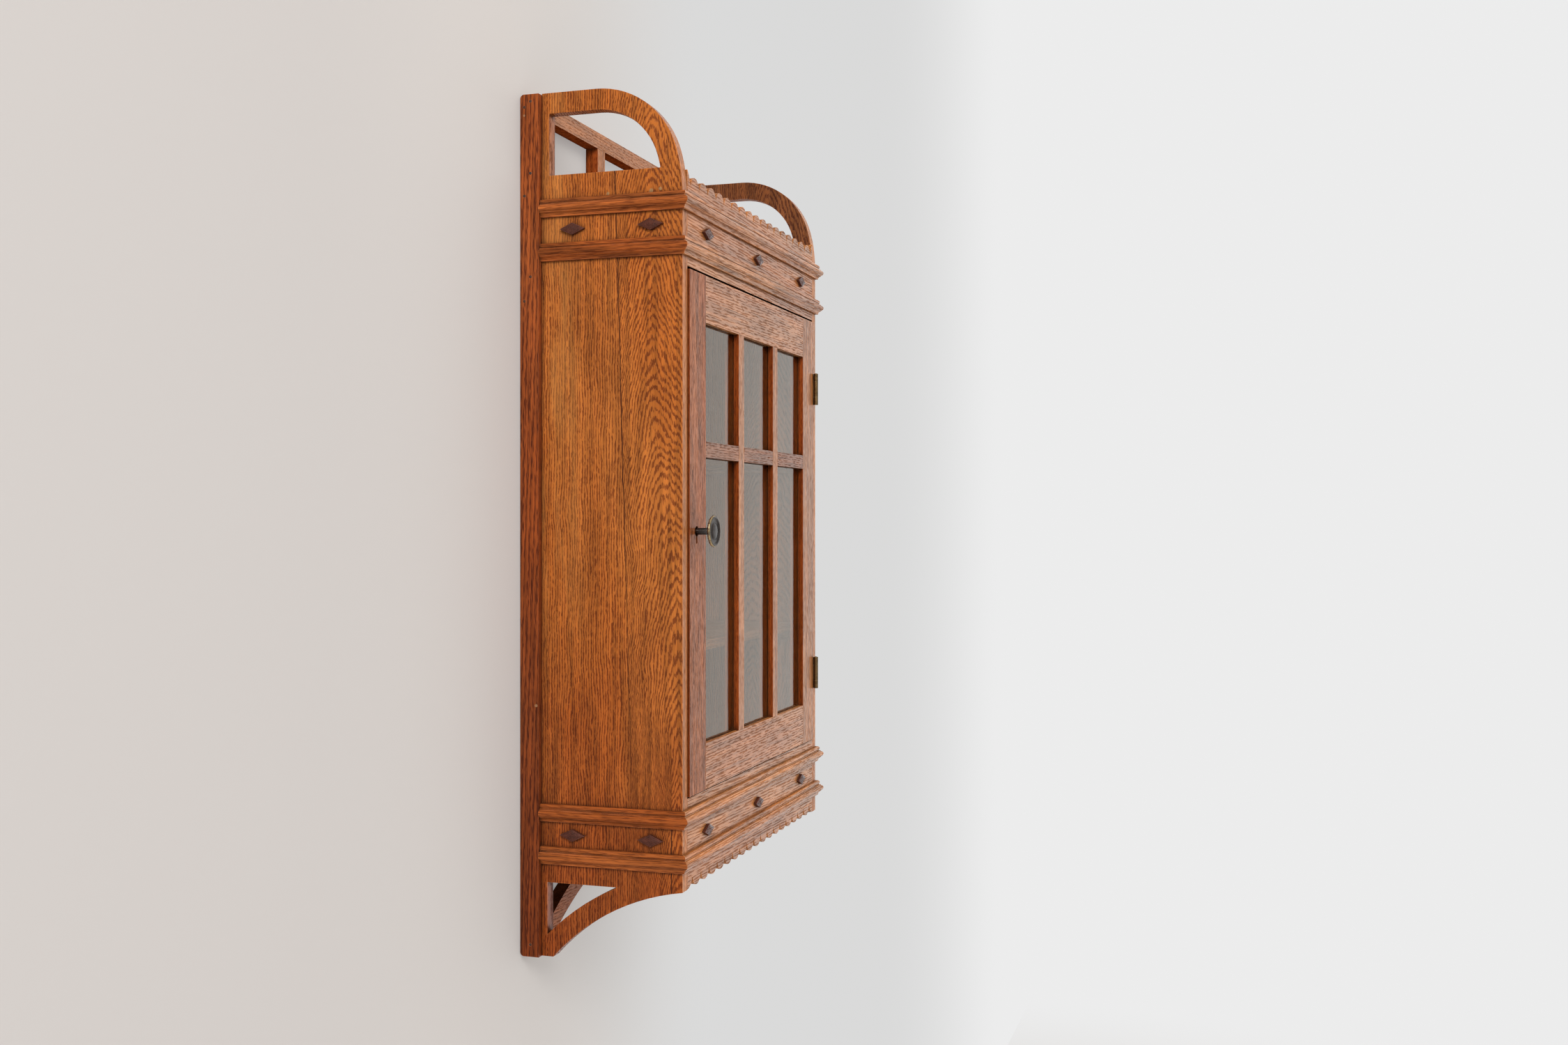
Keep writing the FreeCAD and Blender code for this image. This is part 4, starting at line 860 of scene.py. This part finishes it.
class WALLCABINET_OT_posts_and_gallery(bpy.types.Operator):
    """Finish the posts, the gallery between them and the arched rail below"""
    bl_idname = "wall_cabinet.posts_and_gallery"
    bl_label = "Posts and gallery"
    bl_options = UNDO

    POSTS = alike("post", "post_left post_right")
    # The arched rail's top is painted near black as shade.
    RAILS = (("gallery_rail", "gallery_level", ("reveal", DOWN)),
             ("gallery_foot_rail", "gallery_level"),
             ("arched_rail", "arched_rail", ("raw_edge", UP)),
             ("gallery_bar_left", "gallery_upright", ("reveal", LEFT, RIGHT)),
             ("gallery_bar_right", "gallery_upright", ("reveal", LEFT, RIGHT)))

    def execute(self, context):
        shape = ready(context)
        finish_boards(self.POSTS, "carcase", "post_wood", shape.arris, segments=3)
        finish_boards(self.RAILS, "carcase", "front_wood", shape.joint_arris,
                      reach=0.30)
        return {"FINISHED"}


class WALLCABINET_OT_friezes(bpy.types.Operator):
    """Finish the cresting board and the apron board with their rows of lobes"""
    bl_idname = "wall_cabinet.friezes"
    bl_label = "Friezes"
    bl_options = UNDO

    # The friezes' faces towards the door are painted near black as the shade in its gaps.
    FRIEZES = (("frieze_top", "frieze", ("raw_edge", DOWN)),
               ("frieze_bottom", "frieze", ("raw_edge", UP)))

    def execute(self, context):
        shape = ready(context)
        finish_boards(self.FRIEZES, "carcase", "front_wood", shape.fine_arris)
        return {"FINISHED"}


class WALLCABINET_OT_mouldings(bpy.types.Operator):
    """Finish the four mouldings and their mitred returns"""
    bl_idname = "wall_cabinet.mouldings"
    bl_label = "Mouldings"
    bl_options = UNDO

    FRONTS = alike("moulding_front", "moulding_top_upper moulding_top_lower "
                                     "moulding_bottom_upper moulding_bottom_lower")
    RETURNS = alike("moulding_return", "moulding_returns_left moulding_returns_right")

    def execute(self, context):
        shape = ready(context)
        finish_boards([*self.FRONTS, *self.RETURNS], "carcase", "moulding_wood",
                      shape.fine_arris)
        return {"FINISHED"}


class WALLCABINET_OT_studs(bpy.types.Operator):
    """Make the dark pointed studs between the mouldings"""
    bl_idname = "wall_cabinet.studs"
    bl_label = "Studs"
    bl_options = UNDO

    TURNS = {"front": (QUARTER, 0, 0), "left": (QUARTER, 0, -QUARTER),
             "right": (QUARTER, 0, QUARTER)}
    EASED_ANGLE, SMOOTH_ANGLE = math.radians(12), math.radians(20)

    def execute(self, context):
        shape = ready(context)
        for side in self.TURNS:
            name = f"studs_{side}_pointed"
            studs = repeated(name, solid_boxes(f"studs_{side}"),
                             lambda low, high: self.lozenge(side, low, high, shape))
            settle(joined(name, studs), "carcase", "stud_wood", "stud", f"studs_{side}")
        return {"FINISHED"}

    def lozenge(self, side, low, high, shape):
        """Stud raised from one lozenge: an upright edge and a low pointed face."""
        size, foot = high - low, (low + high) / 2
        if side == "front":
            foot.y, length, thickness = high.y, size.x, size.y
        else:
            foot.x, length, thickness = (high if side == "left" else low).x, size.y, size.x
        deselect()
        bpy.ops.mesh.primitive_circle_add(vertices=4, radius=1.0, fill_type="NGON",
                                          enter_editmode=True, location=(0, 0, 0))
        bpy.ops.transform.resize(value=(length / 2, size.z / 2, 1), center_override=(0, 0, 0))
        for rise in (shape.stud_wall, thickness - shape.stud_wall):
            bpy.ops.mesh.extrude_region_move(TRANSFORM_OT_translate={"value": (0, 0, rise)})
        bpy.ops.mesh.merge(type="CENTER")
        bpy.ops.mesh.select_all(action="SELECT")
        bpy.ops.mesh.normals_make_consistent(inside=False)
        stud = placed(f"stud_{side}", foot, self.TURNS[side])
        apply_modifier("BEVEL", "eased", width=shape.metal_arris, segments=2,
                       limit_method="ANGLE", angle_limit=self.EASED_ANGLE)
        bpy.ops.object.shade_smooth_by_angle(angle=self.SMOOTH_ANGLE)
        return stud


class WALLCABINET_OT_door_frame(bpy.types.Operator):
    """Finish the door's stiles, rails, glazing bars and beads"""
    bl_idname = "wall_cabinet.door_frame"
    bl_label = "Door frame"
    bl_options = UNDO

    # The door's faces towards its gaps are painted near black as shade.
    FRAME = (("stile_left", "stile_left", ("raw_edge", UP, DOWN), ("reveal", LEFT, RIGHT)),
             ("stile_right", "stile_right", ("raw_edge", RIGHT, UP, DOWN), ("reveal", LEFT)),
             ("door_rail_top", "rail", ("raw_edge", UP)),
             ("door_rail_bottom", "rail", ("raw_edge", DOWN)),
             ("upright_bar_left", "bar", ("reveal", LEFT, RIGHT)),
             ("upright_bar_right", "bar", ("reveal", LEFT, RIGHT)),
             *alike("cross_bar", "cross_bar_left cross_bar_middle cross_bar_right"))

    def execute(self, context):
        shape = ready(context)
        finish_boards(self.FRAME, "door", "door_wood", shape.joint_arris)
        finish_boards([("glazing_beads", "bead")], "door", "inner_wood", shape.fine_arris,
                      segments=1)
        return {"FINISHED"}


class WALLCABINET_OT_panes(bpy.types.Operator):
    """Make the six panes of slightly wavy glass"""
    bl_idname = "wall_cabinet.panes"
    bl_label = "Panes"
    bl_options = UNDO

    CELL = 0.0035
    LONG_WAVE, SHORT_WAVE = 0.050, 0.019

    def execute(self, context):
        shape = ready(context)
        waves = []
        for name, size, height in (("Long waves", self.LONG_WAVE, shape.long_wave),
                                   ("Short waves", self.SHORT_WAVE, shape.short_wave)):
            texture = bpy.data.textures.new(name, "CLOUDS")
            texture.noise_scale = size
            texture.noise_depth = 0
            waves.append((texture, height))
        for row in ("upper", "lower"):
            start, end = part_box(f"pane_{row}_left")
            sheet = self.flat_sheet(row, start, end)
            nodes = {column: f"pane_{row}_{column}" for column in ("middle", "right", "left")}
            sheets = {column: copied(sheet, f"{node}_wavy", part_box(node)[0] - start)
                      for column, node in nodes.items() if column != "left"}
            sheets["left"] = named(sheet, f"{nodes['left']}_wavy")
            for column, node in nodes.items():
                self.wave(sheets[column], waves, shape.glass_thickness)
                settle(sheets[column], "door", "old_glass", "glass", node)
        return {"FINISHED"}

    def flat_sheet(self, name, low, high):
        """Sheet of small cells in the middle of a pane's place."""
        size = high - low
        deselect()
        bpy.ops.mesh.primitive_grid_add(x_subdivisions=round(size.x / self.CELL),
                                        y_subdivisions=round(size.z / self.CELL), size=1.0,
                                        enter_editmode=True, location=(0, 0, 0))
        bpy.ops.transform.resize(value=(size.x, size.z, 1), center_override=(0, 0, 0))
        return placed(name, (low + high) / 2, TOWARDS["front"])

    def wave(self, sheet, waves, thickness):
        """Waves that differ from place to place, and then the thickness of the glass."""
        pick(sheet)
        for texture, height in waves:
            apply_modifier("DISPLACE", texture.name, texture=texture, texture_coords="LOCAL",
                           direction="Y", strength=height, mid_level=0.5)
        apply_modifier("SOLIDIFY", "thickness", thickness=thickness, offset=0.0)
        bpy.ops.object.shade_smooth_by_angle(angle=SMOOTH_ANGLE)


class WALLCABINET_OT_hinges(bpy.types.Operator):
    """Finish the leaves of the two butt hinges and turn their pins"""
    bl_idname = "wall_cabinet.hinges"
    bl_label = "Hinges"
    bl_options = UNDO

    def execute(self, context):
        shape = ready(context)
        for hinge in ("upper", "lower"):
            for side, body in (("case", "carcase"), ("door", "door")):
                finish_boards([(f"hinge_{hinge}_{side}_leaf", "brass")], body, "hinge_brass",
                              shape.metal_arris)
        pins = repeated("hinge_pins_turned", solid_boxes("hinge_pins"), self.pin)
        settle(joined("hinge_pins_turned", pins), "carcase", "hinge_brass", "brass",
               "hinge_pins")
        return {"FINISHED"}

    def pin(self, low, high):
        """Pin with a rounded foot and a flat domed head."""
        tall = (high.z - low.z) / MM
        head = tall - 0.8
        steps = [(0.0, 0.7), (0.25, 1.05), (0.5, 1.18), (head, 1.18), (head, 1.9),
                 (head + 0.35, 1.88), (head + 0.6, 1.5), (head + 0.75, 0.9), (tall, 0.3)]
        middle = (low + high) / 2
        return turned("hinge_pin", steps, (middle.x, middle.y, low.z), "up", sides=24)


class WALLCABINET_OT_screws(bpy.types.Operator):
    """Give the slotted screws of the hinges and the lock their steel"""
    bl_idname = "wall_cabinet.screws"
    bl_label = "Screws"
    bl_options = UNDO

    def execute(self, context):
        ready(context)
        for node in ("case_screws", "door_screws"):
            coat_node(node, "screw")
        return {"FINISHED"}


class WALLCABINET_OT_lock(bpy.types.Operator):
    """Finish the lock, its bolt and the keeper plate in the side board"""
    bl_idname = "wall_cabinet.lock"
    bl_label = "Lock"
    bl_options = UNDO

    def execute(self, context):
        width = ready(context).metal_arris
        finish_boards(alike("iron", "lock_case lock_cover"), "door", "lock_iron", width)
        finish_boards([("lock_bolt", "bolt")], "bolt", "bolt_steel", width)
        finish_boards([("keeper_plate", "iron")], "carcase", "lock_iron", width)
        return {"FINISHED"}


class WALLCABINET_OT_key(bpy.types.Operator):
    """Turn the key with its round dished bow and give it its bit"""
    bl_idname = "wall_cabinet.key"
    bl_label = "Key"
    bl_options = UNDO

    # From the tip to the boss of the bow, as distance and radius in millimetres.
    STEPS = (
        (0.0, 1.5), (0.3, 1.9), (0.6, 2.0), (7.3, 2.0), (7.35, 3.3), (7.6, 3.4), (31.6, 3.4),
        (31.9, 3.2), (32.3, 3.2), (32.6, 3.5), (33.4, 3.6), (34.3, 4.0), (34.8, 4.6),
        (35.0, 5.6), (35.1, 9.0), (35.0, 13.2), (35.2, 14.3), (35.7, 15.1), (36.3, 15.5),
        (36.8, 15.6), (37.4, 15.4), (37.9, 14.9), (38.25, 14.3), (38.4, 13.7), (38.35, 13.1),
        (38.05, 12.7), (37.5, 12.45), (37.15, 12.1), (37.0, 11.5), (37.05, 9.2), (37.15, 8.6),
        (37.45, 8.2), (37.9, 7.6), (38.2, 6.7), (38.42, 5.5), (38.57, 4.0), (38.66, 2.4),
        (38.7, 0.5))
    BIT_SHIFT = Vector((0, -5.5 * MM, -5.0 * MM))
    BIT_SIZE = (2.3 * MM, 3.5 * MM, 8.9 * MM)

    def execute(self, context):
        shape = ready(context)
        _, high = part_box("key")
        x, _, z = key_axis()
        tip = Vector((x, high.y, z))
        stem = turned("key_stem", self.STEPS, tip, "front", sides=64)
        bit = self.bit(tip + self.BIT_SHIFT, shape.metal_arris)
        settle(joined("key_turned", [bit, stem]), "key", "key_bronze", "bronze", "key")
        return {"FINISHED"}

    def bit(self, middle, arris):
        """Flat bit below the stem's end, its edges eased."""
        deselect()
        bpy.ops.mesh.primitive_cube_add(size=1.0, enter_editmode=True, location=middle)
        bpy.ops.transform.resize(value=self.BIT_SIZE, center_override=middle)
        bpy.ops.mesh.bevel(offset=arris, segments=2, affect="EDGES")
        return placed("key_bit", middle, (0, 0, 0))


class WALLCABINET_OT_nails(bpy.types.Operator):
    """Make the nails whose small domed heads show in the posts"""
    bl_idname = "wall_cabinet.nails"
    bl_label = "Nails"
    bl_options = UNDO

    def execute(self, context):
        ready(context)
        boxes = solid_boxes("nails")
        nails = []
        for side in ("left", "right"):
            places = [box for box in boxes if (box[0].x < 0) == (side == "left")]
            nails += repeated(f"nail_{side}", places,
                              lambda low, high: self.nail(side, low, high))
        settle(joined("nails_domed", nails), "carcase", "nail_iron", "nail", "nails")
        return {"FINISHED"}

    def nail(self, side, low, high):
        """Nail with a point, a shank and a low domed head."""
        tall = (high.x - low.x) / MM
        steps = [(0.0, 0.1), (1.6, 0.8), (tall - 0.8, 0.8), (tall - 0.7, 1.35),
                 (tall - 0.15, 1.45), (tall + 0.1, 1.1), (tall + 0.2, 0.5)]
        middle = (low + high) / 2
        point = (high if side == "left" else low).x
        return turned(f"nail_{side}", steps, (point, middle.y, middle.z), side, sides=16)


# Stage: a wall and a floor that show their front only, the light round them and the camera.
def backdrop_rays(tree):
    """One for the rays that show the plain backdrop: those of the camera, of gloss and of glass."""
    path = add("ShaderNodeLightPath", tree=tree)
    seen = calc("MAXIMUM", path["Is Camera Ray"], path["Is Glossy Ray"])
    return calc("MAXIMUM", seen, path["Is Transmission Ray"])


def lit_paint(name, paint, glow, glow_share, clear_to):
    """Pale paint, partly as even as the backdrop, clear from behind and to the named rays."""
    material, place = new_material(name)
    tree = place.tree
    painted = add("ShaderNodeBsdfDiffuse", paint, tree=tree)[0]
    even = add("ShaderNodeEmission", glow(place), tree=tree)[0]
    seen = mix_shaders(glow_share(place) * backdrop_rays(tree), painted, even)
    path = add("ShaderNodeLightPath", tree=tree)
    hidden = add("ShaderNodeNewGeometry", tree=tree)["Backfacing"]
    for ray in clear_to:
        hidden = calc("MAXIMUM", hidden, path[ray])
    clear = add("ShaderNodeBsdfTransparent", tree=tree)[0]
    add("ShaderNodeOutputMaterial", mix_shaders(hidden, seen, clear))
    return material


STAGE_SIZE = 30.0
WALL_PLACE = (4.0, 0.0006, 13.3)
FLOOR_PLACE = (4.0, -13.0, -1.7)


def stage_plane(name, place, rotation, material):
    deselect()
    bpy.ops.mesh.primitive_plane_add(size=STAGE_SIZE, location=place, rotation=rotation)
    plane = named(bpy.context.active_object, name)
    bpy.ops.object.transform_apply(location=True, rotation=True, scale=True)
    plane.data.materials.append(material)


def hang_wall(stage):
    """Wall behind the cabinet, shaded at its left and as even as the backdrop at its right."""
    def glow(place):
        across = split(place)[0]
        near = blend(ramp(across, -0.6, 0.1), (0.625, 0.590, 0.570), (0.70, 0.70, 0.698))
        return blend(ramp(across, 1.2, 2.6), near, stage.backdrop)

    def share(place):
        across = split(place)[0]
        behind = ramp(across, -0.24, 0.30, 0.30, 1.0)
        return calc("MAXIMUM", behind, ramp(across, -0.26, -0.60, 0.30, 0.60))

    paint = lit_paint("Wall paint", stage.wall, glow, share, ("Is Diffuse Ray", "Is Shadow Ray"))
    stage_plane("backdrop_wall", WALL_PLACE, (QUARTER, 0, 0), paint)


def lay_floor(stage):
    """Floor below the cabinet, painted under it and as even as the backdrop farther off."""
    paint = lit_paint("Floor paint", stage.floor, lambda place: stage.backdrop,
                      lambda place: ramp(measure("LENGTH", place), 2.2, 3.6),
                      ("Is Glossy Ray", "Is Transmission Ray"))
    stage_plane("backdrop_floor", FLOOR_PLACE, (0, 0, 0), paint)


def light_world(stage):
    """Soft light all round, stronger and warmer from the right, and the plain backdrop."""
    bright_direction = (0.90, -0.42, 0.12)
    world = bpy.data.worlds.new("Pale studio")
    bpy.context.scene.world = world
    world.use_nodes = True
    tree = world.node_tree
    tree.nodes.clear()
    direction = add("ShaderNodeTexCoord", tree=tree)["Generated"]
    right = ramp(measure("DOT_PRODUCT", direction, bright_direction), -0.35, 0.85)
    strength = right * (stage.bright_side - stage.dim_side) + stage.dim_side
    tint = blend(right, (1.0, 0.985, 0.97), stage.right_tint)
    light = add("ShaderNodeBackground", tint, strength)[0]
    plain = add("ShaderNodeBackground", stage.backdrop, tree=tree)[0]
    add("ShaderNodeOutputWorld", mix_shaders(backdrop_rays(tree), light, plain))


class WALLCABINET_OT_stage(bpy.types.Operator):
    """Set the wall, the floor, the lights and the camera"""
    bl_idname = "wall_cabinet.stage"
    bl_label = "Stage and camera"
    bl_options = UNDO

    LAMP_PLACE, LAMP_AIM = Vector((-3.0, -1.7, 1.7)), Vector((0, -0.1, -0.25))
    LAMP = {"shape": "DISK", "size": 1.6, "color": (1.0, 0.97, 0.93)}
    CAMERA_PLACE, CAMERA_TURN = (-1.5912, -0.7067, -0.2301), math.radians(17.67 - 90)
    CAMERA = {"sensor_width": 36.0, "lens": 35.147, "clip_start": 0.05, "clip_end": 100.0}

    def execute(self, context):
        stage = context.scene.wall_cabinet_stage
        hang_wall(stage)
        lay_floor(stage)
        light_world(stage)
        aim = (self.LAMP_AIM - self.LAMP_PLACE).to_track_quat("-Z", "Y").to_euler()
        bpy.ops.object.light_add(type="AREA", location=self.LAMP_PLACE, rotation=aim)
        lamp = named(context.active_object, "soft_lamp")
        lamp.data.energy = stage.lamp_power
        bpy.ops.object.camera_add(location=self.CAMERA_PLACE,
                                  rotation=(QUARTER, 0, self.CAMERA_TURN))
        camera = named(context.active_object, "photo_camera")
        for item, settings in ((lamp, self.LAMP), (camera, self.CAMERA)):
            for setting, value in settings.items():
                setattr(item.data, setting, value)
        context.scene.camera = camera
        context.scene.view_settings.view_transform = "Standard"
        return {"FINISHED"}


# Panel and order of work.
PIECES = (WALLCABINET_OT_carcase, WALLCABINET_OT_posts_and_gallery, WALLCABINET_OT_friezes,
          WALLCABINET_OT_mouldings, WALLCABINET_OT_studs, WALLCABINET_OT_door_frame,
          WALLCABINET_OT_panes, WALLCABINET_OT_hinges, WALLCABINET_OT_screws,
          WALLCABINET_OT_lock, WALLCABINET_OT_key, WALLCABINET_OT_nails, WALLCABINET_OT_stage)
SETTINGS = {"wall_cabinet_woods": WallCabinetWoods, "wall_cabinet_metals": WallCabinetMetals,
            "wall_cabinet_shape": WallCabinetShape, "wall_cabinet_stage": WallCabinetStage}


class WALLCABINET_PT_pieces(bpy.types.Panel):
    """Lists the pieces of the wall cabinet"""
    bl_idname = "WALLCABINET_PT_pieces"
    bl_label = "Wall cabinet"
    bl_space_type = "VIEW_3D"
    bl_region_type = "UI"
    bl_category = "Wall cabinet"

    def draw(self, context):
        for operator in PIECES:
            self.layout.operator(operator.bl_idname)
        for group in SETTINGS:
            settings = getattr(context.scene, group)
            for name in settings.__annotations__:
                self.layout.prop(settings, name)


def register():
    for settings in SETTINGS.values():
        bpy.utils.register_class(settings)
    for name, settings in SETTINGS.items():
        setattr(bpy.types.Scene, name, PointerProperty(type=settings))
    for item in (*PIECES, WALLCABINET_PT_pieces):
        bpy.utils.register_class(item)


def unregister():
    for item in (WALLCABINET_PT_pieces, *reversed(PIECES)):
        bpy.utils.unregister_class(item)
    for name, settings in SETTINGS.items():
        delattr(bpy.types.Scene, name)
        bpy.utils.unregister_class(settings)


def main():
    """Build every piece and the stage."""
    register()
    for operator in PIECES:
        getattr(bpy.ops.wall_cabinet, operator.bl_idname.split(".")[1])()
    deselect()


if __name__ == "__main__":
    main()
